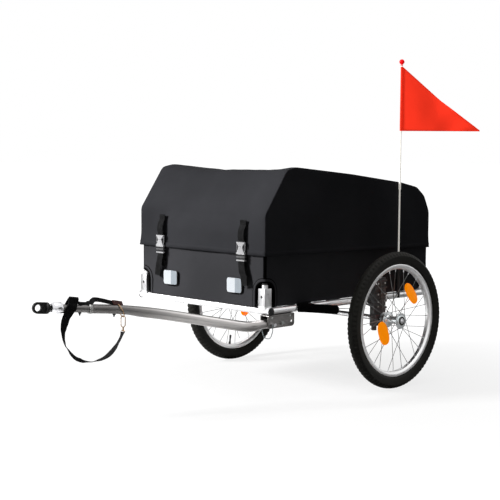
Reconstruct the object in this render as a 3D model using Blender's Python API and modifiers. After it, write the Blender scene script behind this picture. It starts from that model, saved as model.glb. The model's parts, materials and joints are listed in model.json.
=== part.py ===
"""Two-wheeled cargo trailer for a bicycle.

The trailer stands on its two wheels with the drawbar level, as it does behind a bicycle.
Metres, +Z up, -Y forward, +X to the trailer's left. Sizes below are measured from a point on the
ground under the middle of the axle. The root empty then moves the model, so that its origin lies
at the middle of its footprint.
"""

import math

import bmesh
import bpy
from mathutils import Euler, Matrix, Vector

CLEARANCE = 0.0003
CHAMFER = 0.001
OVERSHOOT = 0.01

# Wheels, 20 by 1.75 inch tyres on 406 mm rims
RIM_RADIUS = 0.2075
TYRE_HEIGHT = 0.0455
TYRE_SECTION = 0.0235
WHEEL_OFFSET = 0.1135
RIM_DEPTH = 0.0175
RIM_HALF_WIDTH = 0.0135
RIM_FLOOR_HALF_WIDTH = 0.0085
RIM_SLOPE = 0.0065
RIM_WALL = 0.0017
BEAD_DEPTH = 0.0055
WHEEL_STEPS = 32
SPOKES_PER_FLANGE = 14
SPOKE_CROSSINGS = 2
SPOKE_RADIUS = 0.001
SPOKE_LAYER = 0.0025
FLANGE_RADIUS = 0.0295
FLANGE_THICKNESS = 0.003
OUTER_FLANGE_X = 0.0270
INNER_FLANGE_X = -0.0320
SPOKE_HOLE_RADIUS = 0.0262
HUB_BARREL_RADIUS = 0.014
HUB_INNER_END = -0.040
HUB_OUTER_END = 0.032
HUB_COVER_RADIUS = 0.020
HUB_BARREL_ENDS = (0.018, -0.023)
HUB_FILLET = 0.003
AXLE_RADIUS = 0.006
AXLE_LENGTH = 0.158
AXLE_CAP_RADIUS = 0.010
AXLE_CAP_END = 0.035
BUTTON_RADIUS = 0.006
BUTTON_END = 0.039
BUTTON_TRAVEL = 0.0035
BUTTON_STEM_RADIUS = 0.0022
BUTTON_STEM_LENGTH = 0.040
SPOKE_REFLECTOR_SIZE = (0.090, 0.040, 0.008)
SPOKE_REFLECTOR_CORNER = 0.0168
SPOKE_REFLECTORS = (("front", 0.0972, 203, 202, 0.0013), ("rear", 0.118, 53.7, 39, 0.0009))

# Frame of round tubes with square corner posts. The posts' place, POST_X, and the front tube's,
# FRONT_Y, set the trailer's width and length: what is named an offset is measured from them.
TUBE_RADIUS = 0.0125
FRAME_Z = 0.327
FRONT_Y = -0.564
REAR_Y = 0.305
CROSS_OVERHANG = 0.0293
RAIL_OFFSET = 0.0155
RAIL_INSET = 0.004
FLOOR_TUBE_Y = {"front": -0.190, "rear": 0.060}
PLUG_LIP = 0.0008
PLUG_DEPTH = 0.003
POST_SIZE = 0.032
POST_X = 0.3155
POST_OFFSET = -0.001
POST_BOTTOM = 0.334
POST_TOP = 0.405
COLLAR_RADIUS = 0.011
COLLAR_HEIGHT = 0.012
AXLE_TUBE_RADIUS = 0.0095
AXLE_TUBE_BORE = 0.0068

# Upper frame of two hoops that plug into the posts, with bars between them; it carries the bag
UPPER_RADIUS = 0.009
UPPER_Z = 0.552
UPPER_CORNER = 0.012
UPPER_BAR_INSET = 0.002
LEG_SEAT = 0.0035

# Cargo bag, floor board and lid
BAG_WALL = 0.0017
BAG_TOP = 0.5605
NOTCH_RADIUS = 0.036
NOTCH_TOP = 0.428
BOARD_THICKNESS = 0.005
BOARD_ROOM = 0.002
LID_WALL = 0.002
LID_SIDE_ROOM = 0.0038
LID_FRONT_ROOM = 0.004
LID_EDGE = 0.012
LID_FRONT_Z = (0.517, 0.657)
LID_FRONT_CORNERS = ((0.090, 0.808), (0.138, 0.817))
LID_MIDDLE_CORNER = (-0.135, 0.789)
LID_REAR_CORNERS = ((-0.157, 0.754), (-0.063, 0.735), (-0.016, 0.700))
LID_CORNER_RADII = (0.030, 0.030, 0.040, 0, 0, 0.040, 0.040)
LID_REAR_CORNER = (0.639, 0.050)
LID_SAG = 0.015
LID_SAG_INSET = 0.0263
LID_SAG_Z = (0.660, 0.720)
LID_FRAME_RADIUS = 0.006
LID_FRAME_CORNER = 0.008
LID_HOOP_INSET = 0.004
HINGE_Z = 0.497

# Reflectors and straps on the bag
SEWN_OFFSET = 0.010
REFLECTOR_SIZE = (0.075, 0.008, 0.052)
REFLECTOR_EDGE = 0.003
REFLECTOR_X = 0.1705
REFLECTOR_Z = 0.406
REAR_REFLECTOR_X = 0.220
STRAP_X = 0.2147
STRAP_WIDTH = 0.030
STRAP_THICKNESS = 0.0015
STRAP_SEAM_Z = 0.636
BUCKLE_WIDTH = 0.041
BUCKLE_DEPTH = 0.011
BUCKLE_SPLIT = 0.544
BUCKLE_HEAD_HEIGHT = 0.019
BUCKLE_SOCKET_HEIGHT = 0.050
BUCKLE_EDGE = 0.0015
BUCKLE_WALL = 0.0032
BUCKLE_BAR = (0.0022, 0.0041)
BUCKLE_SLOT_TOP = 0.0095
BUCKLE_SLOT_END = 0.004
BUCKLE_POCKET_FLOOR = 0.014
BUCKLE_SKIN = (0.002, 0.0015)
BUCKLE_WINDOW = (0.026, 0.009)
BUCKLE_WINDOW_SKIN = (0.0035, 0.003)
BUCKLE_PLUG_THICKNESS = 0.0032
BUCKLE_PLUG_DEPTH = 0.0024
PRONG_HEIGHTS = (0.011, 0.012, 0.022, 0.029, 0.027)
PRONG_WAIST = 0.004
PRONG_WIDTH = 0.0085
TONGUE_HALF_WIDTH = 0.003
TONGUE_LENGTH = 0.024
TAIL_LEAN = 0.022
LOWER_SEAM_Z = 0.446
SEWN_LENGTH = 0.015
TAIL_ROUTE = ((0.35, 0.035, -0.002), (0.85, 0.063, 0.001), (1.0, 0.088, 0.002))

# Drawbar, its bracket and pins
BRACKET_OFFSET = 0.0095
BRACKET_WIDTH = 0.0386
BRACKET_WALL = 0.003
BRACKET_OFFSETS = (-0.013, 0.116)
BRACKET_BOTTOM = 0.269
BRACKET_CORNERS = (0.003, 0.012, 0.002, 0.002)
DRAWBAR_RADIUS = 0.0155
DRAWBAR_Z = 0.284
DRAWBAR_REAR_OFFSET = 0.086
FIRST_BEND_OFFSET = -0.092
SECOND_BEND_OFFSET = (-0.235, -0.386)
SECOND_BEND_Z = 0.345
BEND_RADII = (0.070, 0.450)
BAR_HEADING = (-0.055, -0.380, 0.034)
COLLAR_OFFSET = -0.556
FRONT_TUBE_RADIUS = 0.013
FRONT_TUBE_LENGTH = 0.1045
BAR_COLLAR_RADIUS = 0.0166
BAR_COLLAR_ENDS = (-0.005, 0.006)
BOLT_RADIUS = 0.004
BOLT_HEAD_RADIUS = 0.0065
BOLT_HEAD_LENGTH = 0.005
BOLT_NUT_LENGTH = 0.006
BOLT_ENDS = (0.007, 0.004)
PIVOT_BOLT_OFFSET = (0.054, 0.285)
LOCK_PIN_OFFSET = (0.010, 0.282)
SPARE_HOLE_OFFSET = (0.102, 0.287)
SPARE_HOLE_RADIUS = 0.0045
PIN_HEAD_RADIUS = 0.006
PIN_HEAD_LENGTH = 0.012
PIN_TIP = 0.009
PIN_GROOVE = (0.003, 0.0018)
PIN_GROOVE_INSET = 0.004
BAIL_RADIUS = 0.001
BAIL_DEPTH = 0.050
BAIL_AHEAD = -0.0085
BAIL_PIVOT_END = 0.0075
BAIL_LATCH_END = 0.0055
BAIL_SHOULDER = 0.020
BAIL_NARROWING = 0.010
BAIL_SPREAD = 0.002
BAIL_BENDS = (0.003, 0.020, 0.018)

# Hitch, measured along the bar from the collar
SLEEVE_RADIUS = 0.0195
SLEEVE_LENGTH = 0.036
SPIGOT_RADIUS = 0.010
SPIGOT_LENGTH = 0.012
BALL_RADIUS = 0.012
BALL_ALONG = 0.027
NECK_RADIUS = 0.005
MOUTH_RADIUS = 0.0102
SHOULDER_RADIUS = 0.0185
SHOULDER_ALONG = 0.045
EYE_ALONG = 0.083
EYE_HOLE_RADIUS = 0.011
TANG_THICKNESS = 0.009
SLEEVE_EDGE = ((0.006, 0), (0.002, 0.004), (0, 0.010))
SLEEVE_FOOT = 0.002
MOUTH_DEPTH = 0.004
SHOULDER_HEIGHTS = (0.012, 0.008, 0.003)
SHOULDER_EDGE = (0.004, 0.003)
NECK_ROOT = 0.006

# Safety strap and its fittings. The route and the ring are measured from the collar.
WRAP_ALONG = 0.0455
WRAP_WIDTH = 0.034
WRAP_THICKNESS = 0.0025
WRAP_PEAK = 0.030
WEBBING_WIDTH = 0.025
WEBBING_THICKNESS = 0.0016
STRAP_SPACING = 0.020
STRAP_ROUTE = (
    (0.00831, -0.06500, 0.00379), (0.00961, -0.07400, -0.01581), (0.00811, -0.08800, -0.04981),
    (0.00461, -0.09600, -0.07951), (0.00011, -0.09400, -0.10791), (-0.00339, -0.07760, -0.13541),
    (-0.00469, -0.05320, -0.15881), (-0.00299, -0.02090, -0.17041), (0.00111, 0.00760, -0.17531),
    (0.00661, 0.03200, -0.17221), (0.01311, 0.05800, -0.16221), (0.01811, 0.08200, -0.14271),
    (0.02141, 0.10100, -0.11991), (0.02301, 0.11300, -0.10021), (0.02321, 0.11780, -0.08501),
)
STRAP_TWIST = (20, 15, -35, -90, -90, -90, -90)
RING_BEHIND = 0.110
RING_RADIUS = 0.0235
RING_WIRE = 0.0015
RING_LEAN = 30
HOOK_WIRE = 0.0014
HOOK_WIDTH = 0.015
HOOK_LENGTH = 0.038
HOOK_GATE = (0.008, 0.010)
HOOK_STEM_RADIUS = 0.0024
HOOK_STEM_LENGTH = 0.012
HOOK_BAR_RADIUS = 0.002

# Flag
POLE_OFFSET = 0.0245
POLE_Y = 0.125
POLE_RADIUS = 0.003
POLE_FOOT = 0.370
POLE_TOP = 1.196
SOCKET_RADIUS = 0.007
SOCKET_TOP = 0.470
SOCKET_DROP = 0.008
POLE_JOINT_Z = 0.741
FLAG_BALL_RADIUS = 0.0094
POLE_SLEEVE = 0.0015
POLE_SLEEVE_LENGTH = 0.025
POLE_STOP_LENGTH = 0.006
FLAG_BALL_RISE = 0.007
PENNANT_DROP = 0.011
PENNANT_HEIGHT = 0.238
PENNANT_LENGTH = 0.295
PENNANT_HEADING = 45.5
PENNANT_CLOTH = 0.0008
PENNANT_TIP = 0.004

# Wheel carriers and flaps on the side rails
CARRIER_OFFSETS = (0.030, 0.0515)
CARRIER_RIB_OFFSET = 0.0575
CARRIER_Y = (-0.045, 0.020)
CARRIER_TOP = 0.405
CARRIER_DROP = 0.025
CARRIER_RIBS = 7
CARRIER_ARM = (0.008, 0.014)
BOSS_RADIUS = 0.016
BOSS_SEAT = 0.004
STRUT_Y = -0.035
STRUT_OFFSET = 0.0425
STRUT_RADIUS = 0.015
STRUT_FOOT_RADIUS = 0.010
STRUT_HEIGHTS = (-0.041, -0.016, 0.019)
FLAP_Y = (-0.430, -0.220)
FLAP_THICKNESS = 0.0015
FLAP_OUTER_Z = (0.362, 0.350, 0.338, 0.306)
FLAP_SPREAD = 0.001
FLAP_INNER = ((0, 0.292), (-0.0138, 0.304), (-0.0145, 0.330))
FLAP_RADII = (0, 0.004, 0.010, 0.010, 0.012, 0.008, 0)

FINISHES = {
    "alloy": ((0.62, 0.63, 0.65), 0.35, 1.0),
    "steel": ((0.50, 0.49, 0.48), 0.40, 1.0),
    "chrome": ((0.80, 0.80, 0.82), 0.12, 1.0),
    "brass": ((0.72, 0.50, 0.28), 0.30, 1.0),
    "black_fabric": ((0.010, 0.010, 0.011), 0.85, 0.0),
    "webbing": ((0.008, 0.008, 0.008), 0.75, 0.0),
    "black_plastic": ((0.015, 0.015, 0.016), 0.45, 0.0),
    "rubber": ((0.016, 0.015, 0.014), 0.80, 0.0),
    "orange_lens": ((1.00, 0.30, 0.00), 0.25, 0.0),
    "clear_lens": ((0.75, 0.77, 0.78), 0.20, 0.0),
    "red_lens": ((0.60, 0.01, 0.01), 0.25, 0.0),
    "red_fabric": ((0.85, 0.03, 0.01), 0.70, 0.0),
    "pale_plastic": ((0.70, 0.70, 0.68), 0.40, 0.0),
    "board": ((0.03, 0.03, 0.03), 0.70, 0.0),
}

SIDES = (("left", 1), ("right", -1))
ALONG_X = Euler((math.radians(90), 0, math.radians(90)))
ALONG_Y = Euler((math.radians(90), 0, 0))

TYRE_RADIUS = RIM_RADIUS + TYRE_HEIGHT
AXLE_Z = TYRE_RADIUS
RIM_INNER_RADIUS = RIM_RADIUS - RIM_DEPTH
WHEEL_X = POST_X + WHEEL_OFFSET
RAIL_X = POST_X + RAIL_OFFSET
POLE_X = POST_X + POLE_OFFSET
STRUT_X = POST_X + STRUT_OFFSET
BRACKET_X = POST_X + BRACKET_OFFSET
CROSS_HALF_LENGTH = POST_X + CROSS_OVERHANG
CARRIER_X = tuple(POST_X + offset for offset in CARRIER_OFFSETS)
CARRIER_RIB_X = POST_X + CARRIER_RIB_OFFSET
PENNANT_TOP = POLE_TOP - PENNANT_DROP
PENNANT_BOTTOM = PENNANT_TOP - PENNANT_HEIGHT
POST_Y = {"front": FRONT_Y + POST_OFFSET, "rear": REAR_Y - POST_OFFSET}
LEG_FOOT = FRAME_Z + TUBE_RADIUS + LEG_SEAT
BAG_HALF_WIDTH = POST_X + UPPER_RADIUS + CLEARANCE + BAG_WALL
BAG_FRONT_Y = POST_Y["front"] - UPPER_RADIUS - CLEARANCE - BAG_WALL
BAG_REAR_Y = POST_Y["rear"] + UPPER_RADIUS + CLEARANCE + BAG_WALL
BAG_BOTTOM = FRAME_Z + TUBE_RADIUS + CLEARANCE
BOARD_BOTTOM = BAG_BOTTOM + BAG_WALL + CLEARANCE
LID_HALF_WIDTH = BAG_HALF_WIDTH + LID_SIDE_ROOM
LID_SAG_HALF_WIDTH = LID_HALF_WIDTH - LID_SAG_INSET
LID_FRONT_Y = BAG_FRONT_Y - LID_FRONT_ROOM
LID_REAR_Y = BAG_REAR_Y + CLEARANCE + LID_WALL
HINGE_Y = LID_REAR_Y - LID_WALL / 2
BUCKLE_TOP = BUCKLE_SPLIT + BUCKLE_HEAD_HEIGHT
BUCKLE_BOTTOM = BUCKLE_SPLIT - BUCKLE_SOCKET_HEIGHT
BUCKLE_BACK_Y = LID_FRONT_Y - CLEARANCE - STRAP_THICKNESS - CLEARANCE
BRACKET_FRONT_Y, BRACKET_REAR_Y = (FRONT_Y + offset for offset in BRACKET_OFFSETS)
PIVOT_BOLT, LOCK_PIN, SPARE_HOLE = (
    (FRONT_Y + offset, z) for offset, z in (PIVOT_BOLT_OFFSET, LOCK_PIN_OFFSET, SPARE_HOLE_OFFSET)
)
BAR_AXIS = Vector(BAR_HEADING).normalized()
SECOND_BEND = Vector(
    (BRACKET_X + SECOND_BEND_OFFSET[0], FRONT_Y + SECOND_BEND_OFFSET[1], SECOND_BEND_Z)
)
COLLAR_POINT = SECOND_BEND + BAR_AXIS * (COLLAR_OFFSET - SECOND_BEND_OFFSET[1]) / BAR_AXIS.y
SLEEVE_START = FRONT_TUBE_LENGTH + CLEARANCE

PENNANT_DIRECTION = Vector(
    (math.cos(math.radians(PENNANT_HEADING)), math.sin(math.radians(PENNANT_HEADING)), 0)
)
LEFT_END = POLE_X + PENNANT_LENGTH * PENNANT_DIRECTION.x
RIGHT_END = -(WHEEL_X + BUTTON_END)
FRONT_END = (COLLAR_POINT + BAR_AXIS * (SLEEVE_START + EYE_ALONG)).y - SHOULDER_RADIUS
REAR_END = POLE_Y + PENNANT_LENGTH * PENNANT_DIRECTION.y
ORIGIN = Vector(((LEFT_END + RIGHT_END) / 2, (FRONT_END + REAR_END) / 2, 0))


def clear_scene():
    for item in list(bpy.data.objects):
        bpy.data.objects.remove(item, do_unlink=True)


def new_collection(name):
    group = bpy.data.collections.new(name)
    bpy.context.scene.collection.children.link(group)
    return group


clear_scene()
PARTS = new_collection("bicycle_trailer")
CUTTERS = new_collection("cutters")


def new_material(name, finish):
    colour, roughness, metallic = FINISHES[finish]
    material = bpy.data.materials.new(name)
    material.use_nodes = True
    shader = material.node_tree.nodes["Principled BSDF"]
    shader.inputs["Base Color"].default_value = (*colour, 1)
    shader.inputs["Roughness"].default_value = roughness
    shader.inputs["Metallic"].default_value = metallic
    material.diffuse_color = (*colour, 1)
    return material


def add_empty(name, parent, location, rotation=None):
    empty = bpy.data.objects.new(name, None)
    empty.empty_display_size = 0.05
    empty.parent = parent
    empty.location = location
    empty.rotation_euler = rotation or Euler((0, 0, 0))
    PARTS.objects.link(empty)
    return empty


def add_object(name, data, parent, finish=None, location=(0, 0, 0), rotation=None):
    """Put a mesh or curve in the scene: a part if it has a finish, otherwise a cutter."""
    item = bpy.data.objects.new(name, data)
    item.parent = parent
    item.location = location
    item.rotation_euler = rotation or Euler((0, 0, 0))
    if finish:
        data.materials.append(new_material(name, finish))
        PARTS.objects.link(item)
    else:
        item.hide_render = True
        item.display_type = "WIRE"
        CUTTERS.objects.link(item)
    return item


def finished_mesh(name, shape, smooth_angle=35):
    mesh = bpy.data.meshes.new(name)
    shape.to_mesh(mesh)
    shape.free()
    mesh.shade_smooth()
    mesh.set_sharp_from_angle(angle=math.radians(smooth_angle))
    return mesh


def box_mesh(name, low, high):
    shape = bmesh.new()
    bmesh.ops.create_cube(shape, size=1)
    size = Vector(high) - Vector(low)
    middle = (Vector(high) + Vector(low)) / 2
    bmesh.ops.scale(shape, vec=size, verts=shape.verts)
    bmesh.ops.translate(shape, vec=middle, verts=shape.verts)
    return finished_mesh(name, shape)


def rod_mesh(name, radius, start, end, sides=16, end_radius=None):
    """A cylinder, or a cone with end_radius, from one point to another."""
    start = Vector(start)
    run = Vector(end) - start
    shape = bmesh.new()
    bmesh.ops.create_cone(
        shape,
        cap_ends=True,
        segments=sides,
        radius1=radius,
        radius2=radius if end_radius is None else end_radius,
        depth=run.length,
    )
    turn = Vector((0, 0, 1)).rotation_difference(run).to_matrix().to_4x4()
    bmesh.ops.transform(shape, matrix=Matrix.Translation(start + run / 2) @ turn, verts=shape.verts)
    return finished_mesh(name, shape)


def ball_mesh(name, radius, centre, sides=20):
    shape = bmesh.new()
    bmesh.ops.create_uvsphere(shape, u_segments=sides, v_segments=sides // 2, radius=radius)
    bmesh.ops.translate(shape, vec=centre, verts=shape.verts)
    return finished_mesh(name, shape)


def turned(name, profile, parent, finish=None, location=(0, 0, 0), rotation=None, steps=24, ring=False):
    """Turn a profile of (radius, height) about Z. It runs down the outer side, top to bottom."""
    shape = bmesh.new()
    points = [shape.verts.new((radius, 0, height)) for radius, height in profile]
    for first, second in zip(points, points[1:] + points[:1] if ring else points[1:]):
        shape.edges.new((first, second))
    item = add_object(name, finished_mesh(name, shape), parent, finish, location, rotation)
    screw = item.modifiers.new("turn", "SCREW")
    screw.steps = steps
    screw.render_steps = steps
    screw.use_merge_vertices = True
    screw.merge_threshold = 0.00001
    return item


def rounded_path(corners, radii, steps=4, closed=False):
    """Points of a path through the corners, each corner rounded by an arc of its radius."""
    corners = [Vector(corner) for corner in corners]
    count = len(corners)
    path = []
    for index, (corner, radius) in enumerate(zip(corners, radii)):
        at_end = not closed and index in (0, count - 1)
        if at_end or not radius:
            path.append(corner)
            continue
        back = (corners[index - 1] - corner).normalized()
        ahead = (corners[(index + 1) % count] - corner).normalized()
        half = back.angle(ahead) / 2
        centre = corner + (back + ahead).normalized() * radius / math.sin(half)
        start = corner + back * radius / math.tan(half) - centre
        end = corner + ahead * radius / math.tan(half) - centre
        axis = start.cross(end).normalized()
        for step in range(steps + 1):
            path.append(centre + Matrix.Rotation(start.angle(end) * step / steps, 3, axis) @ start)
    return path


def wire_curve(name, points, radius, resolution, closed=False):
    """A round bar along the points, with 4 + 2 * resolution sides."""
    curve = bpy.data.curves.new(name, "CURVE")
    curve.dimensions = "3D"
    curve.twist_mode = "MINIMUM"
    curve.bevel_depth = radius
    curve.bevel_resolution = resolution
    curve.render_resolution_u = 0
    curve.use_fill_caps = not closed
    spline = curve.splines.new("POLY")
    spline.points.add(len(points) - 1)
    spline.use_cyclic_u = closed
    for place, point in zip(spline.points, points):
        place.co = (*point, 1)
    return curve


def plate_curve(name, outlines, thickness):
    """A flat plate in XY, centred on Z. The outlines after the first are holes."""
    curve = bpy.data.curves.new(name, "CURVE")
    curve.dimensions = "2D"
    curve.fill_mode = "BOTH"
    curve.extrude = thickness / 2
    curve.render_resolution_u = 0
    for outline in outlines:
        spline = curve.splines.new("POLY")
        spline.points.add(len(outline) - 1)
        spline.use_cyclic_u = True
        for place, point in zip(spline.points, outline):
            place.co = (point[0], point[1], 0, 1)
    return curve


def circle(radius, centre=(0, 0), steps=24):
    turns = [2 * math.pi * step / steps for step in range(steps)]
    return [(centre[0] + radius * math.cos(turn), centre[1] + radius * math.sin(turn)) for turn in turns]


def rounded_box_outline(low, high, radii, steps=4):
    corners = ((low[0], low[1], 0), (high[0], low[1], 0), (high[0], high[1], 0), (low[0], high[1], 0))
    return rounded_path(corners, radii, steps, closed=True)


def as_mesh(item):
    """Swap a curve object for the closed mesh that it draws."""
    bpy.context.view_layer.update()
    drawn = bpy.data.meshes.new_from_object(item.evaluated_get(bpy.context.evaluated_depsgraph_get()))
    shape = bmesh.new()
    shape.from_mesh(drawn)
    bmesh.ops.remove_doubles(shape, verts=shape.verts, dist=0.00001)
    bmesh.ops.recalc_face_normals(shape, faces=shape.faces)
    shape.to_mesh(drawn)
    shape.free()
    drawn.shade_smooth()
    drawn.set_sharp_from_angle(angle=math.radians(35))
    name = item.name
    mesh_item = bpy.data.objects.new(name, drawn)
    mesh_item.parent = item.parent
    mesh_item.matrix_world = item.matrix_world
    mesh_item.hide_render = item.hide_render
    mesh_item.display_type = item.display_type
    item.users_collection[0].objects.link(mesh_item)
    bpy.data.objects.remove(item)
    mesh_item.name = name
    return mesh_item


def combine(item, operation, data, parent=None, location=(0, 0, 0), rotation=None):
    """Cut or join a piece with a mesh that is given in the frame of its parent."""
    if isinstance(data, bpy.types.Object):
        tool = data
    else:
        name = f"{item.name}_{operation.lower()}_{len(item.modifiers)}"
        tool = add_object(name, data, parent or item.parent, None, location, rotation)
    change = item.modifiers.new(tool.name, "BOOLEAN")
    change.operation = operation
    change.object = tool
    return tool


def bevelled(item, width, segments=2, angle=50):
    bevel = item.modifiers.new("rounded edges", "BEVEL")
    bevel.width = width
    bevel.segments = segments
    bevel.limit_method = "ANGLE"
    bevel.angle_limit = math.radians(angle)
    return item


def solidified(item, thickness):
    """Give an open surface a wall on its inner side."""
    wall = item.modifiers.new("wall", "SOLIDIFY")
    wall.thickness = thickness
    wall.offset = -1
    wall.use_even_offset = True
    return item


def offset_outline(points, distance):
    """Move an open outline in a plane sideways, to the right of its direction of travel."""
    moved = []
    for index, point in enumerate(points):
        before = (point - points[index - 1]).normalized() if index else None
        after = (points[index + 1] - point).normalized() if index < len(points) - 1 else None
        before = before or after
        after = after or before
        normals = [Vector((way.y, -way.x, 0)) for way in (before, after)]
        middle = (normals[0] + normals[1]).normalized()
        moved.append(point + middle * distance / middle.dot(normals[0]))
    return moved


def make_cross_tube(end, root):
    """A tube across the trailer with plugged ends and the two posts that are welded on it."""
    half = CROSS_HALF_LENGTH
    lip = TUBE_RADIUS + PLUG_LIP
    upper = ((0.0, half + PLUG_DEPTH), (lip * 0.7, half + PLUG_DEPTH), (lip, half + PLUG_DEPTH * 0.4),
             (lip, half), (TUBE_RADIUS, half))
    profile = upper + tuple((radius, -height) for radius, height in reversed(upper))
    y = {"front": FRONT_Y, "rear": REAR_Y}[end]
    tube = turned(f"{end}_cross_tube", profile, root, "alloy", (0, y, FRAME_Z), ALONG_X, 16)
    for _, sign in SIDES:
        x = sign * POST_X
        low = (x - POST_SIZE / 2, POST_Y[end] - POST_SIZE / 2, POST_BOTTOM)
        high = (x + POST_SIZE / 2, POST_Y[end] + POST_SIZE / 2, POST_TOP)
        combine(tube, "UNION", box_mesh("post", low, high))
        foot = (x, POST_Y[end], POST_TOP - COLLAR_HEIGHT)
        top = (x, POST_Y[end], POST_TOP + COLLAR_HEIGHT)
        combine(tube, "UNION", rod_mesh("collar", COLLAR_RADIUS, foot, top, 12))
        foot = (x, POST_Y[end], LEG_FOOT - CLEARANCE)
        top = (x, POST_Y[end], POST_TOP + 2 * COLLAR_HEIGHT)
        combine(tube, "DIFFERENCE", rod_mesh("bore", UPPER_RADIUS + CLEARANCE, foot, top, 24))
    return tube


def make_side_rail(side, sign, root):
    x = sign * RAIL_X
    rail = add_object(
        f"side_rail_{side}",
        rod_mesh("rail", TUBE_RADIUS, (x, FRONT_Y + RAIL_INSET, FRAME_Z), (x, REAR_Y - RAIL_INSET, FRAME_Z)),
        root,
        "alloy",
    )
    for end, y in (("front", FRONT_Y), ("rear", REAR_Y)):
        reach = 2 * TUBE_RADIUS
        cope = rod_mesh("cope", TUBE_RADIUS + CLEARANCE, (x - reach, y, FRAME_Z), (x + reach, y, FRAME_Z))
        combine(rail, "DIFFERENCE", cope)
        spread = POST_SIZE / 2 + CLEARANCE
        low = (sign * POST_X - spread, POST_Y[end] - spread, POST_BOTTOM - CLEARANCE)
        high = (sign * POST_X + spread, POST_Y[end] + spread, POST_TOP)
        combine(rail, "DIFFERENCE", box_mesh("post room", low, high))


def make_floor_tube(end, root):
    y = FLOOR_TUBE_Y[end]
    half = RAIL_X - TUBE_RADIUS / 2
    tube = add_object(
        f"floor_tube_{end}",
        rod_mesh("tube", TUBE_RADIUS, (-half, y, FRAME_Z), (half, y, FRAME_Z)),
        root,
        "alloy",
    )
    for _, sign in SIDES:
        x = sign * RAIL_X
        reach = 2 * TUBE_RADIUS
        cope = rod_mesh("cope", TUBE_RADIUS + CLEARANCE, (x, y - reach, FRAME_Z), (x, y + reach, FRAME_Z))
        combine(tube, "DIFFERENCE", cope)


def make_axle_tube(root):
    half = CARRIER_X[0] - CLEARANCE
    profile = (
        (AXLE_TUBE_BORE, half),
        (AXLE_TUBE_RADIUS, half),
        (AXLE_TUBE_RADIUS, -half),
        (AXLE_TUBE_BORE, -half),
    )
    turned("axle_tube", profile, root, "alloy", (0, 0, AXLE_Z), ALONG_X, ring=True)


def upper_hoop(end, radius):
    y = POST_Y[end]
    corners = ((-POST_X, y, LEG_FOOT), (-POST_X, y, UPPER_Z), (POST_X, y, UPPER_Z), (POST_X, y, LEG_FOOT))
    path = rounded_path(corners, (0, UPPER_CORNER, UPPER_CORNER, 0), 4)
    return wire_curve(f"upper_hoop_{end}", path, radius, 4)


def make_upper_frame(root):
    for end in ("front", "rear"):
        add_object(f"upper_hoop_{end}", upper_hoop(end, UPPER_RADIUS), root, "steel")
    for side, sign in SIDES:
        x = sign * POST_X
        front = (x, POST_Y["front"] + UPPER_BAR_INSET, UPPER_Z)
        rear = (x, POST_Y["rear"] - UPPER_BAR_INSET, UPPER_Z)
        bar = add_object(f"upper_bar_{side}", rod_mesh("bar", UPPER_RADIUS, front, rear), root, "steel")
        for end in ("front", "rear"):
            tool = upper_hoop(end, UPPER_RADIUS + CLEARANCE)
            combine(bar, "DIFFERENCE", as_mesh(add_object(f"{bar.name}_cope_{end}", tool, root)))


def notch_cutter(name, x, end, spread, root):
    """A round-topped arch about a corner post."""
    radius = NOTCH_RADIUS + spread
    shoulder = NOTCH_TOP + spread - radius
    arc = [math.radians(90 - 30 * step) for step in range(4)]
    profile = [(radius * math.cos(turn), shoulder + radius * math.sin(turn)) for turn in arc]
    profile += [(radius, BAG_BOTTOM - OVERSHOOT), (0, BAG_BOTTOM - OVERSHOOT)]
    return turned(name, profile, root, location=(x, POST_Y[end], 0), steps=20)


def cut_notches(item, spread, root):
    for side, sign in SIDES:
        for end in ("front", "rear"):
            name = f"{item.name}_notch_{end}_{side}"
            combine(item, "DIFFERENCE", notch_cutter(name, sign * POST_X, end, spread, root))


def rail_flap(side, sign, root):
    """A cloth flap sewn to the bag's side, hanging round the side rail."""
    seam_x = BAG_HALF_WIDTH + FLAP_THICKNESS / 2
    outer = RAIL_X + TUBE_RADIUS + CLEARANCE + FLAP_THICKNESS
    outline = zip((seam_x, seam_x, outer, outer + FLAP_SPREAD), FLAP_OUTER_Z)
    corners = [(x, z, 0) for x, z in outline] + [(RAIL_X + x, z, 0) for x, z in FLAP_INNER]
    path = rounded_path(corners, FLAP_RADII, 2)
    middle = (FLAP_Y[0] + FLAP_Y[1]) / 2
    points = [(sign * point.x, middle, point.y) for point in path]
    length = FLAP_Y[1] - FLAP_Y[0]
    band = ribbon(f"rail_flap_{side}", points, (0, sign, 0), length, FLAP_THICKNESS, root)
    band.modifiers[-1].offset = 1
    return band


def make_cargo_bag(root):
    low = (-BAG_HALF_WIDTH, BAG_FRONT_Y, BAG_BOTTOM)
    high = (BAG_HALF_WIDTH, BAG_REAR_Y, BAG_TOP)
    mesh = box_mesh("cargo_bag", low, high)
    shape = bmesh.new()
    shape.from_mesh(mesh)
    uprights = [edge for edge in shape.edges if abs(edge.verts[0].co.z - edge.verts[1].co.z) > BAG_WALL]
    corner = UPPER_RADIUS + CLEARANCE + BAG_WALL
    bmesh.ops.bevel(shape, geom=uprights, offset=corner, segments=4, profile=0.5, affect="EDGES")
    top = [face for face in shape.faces if face.calc_center_median().z > BAG_TOP - BAG_WALL]
    bmesh.ops.delete(shape, geom=top, context="FACES")
    shape.to_mesh(mesh)
    shape.free()
    bag = add_object("cargo_bag", mesh, root, "black_fabric")
    solidified(bag, BAG_WALL)
    cut_notches(bag, 0, root)
    for side, sign in SIDES:
        combine(bag, "UNION", rail_flap(side, sign, root))


def make_floor_board(root):
    inset = BAG_WALL + CLEARANCE
    low = (-BAG_HALF_WIDTH + inset, BAG_FRONT_Y + inset, BOARD_BOTTOM)
    high = (BAG_HALF_WIDTH - inset, BAG_REAR_Y - inset, BOARD_BOTTOM + BOARD_THICKNESS)
    board = add_object("floor_board", box_mesh("board", low, high), root, "board")
    cut_notches(board, BOARD_ROOM, root)


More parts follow.
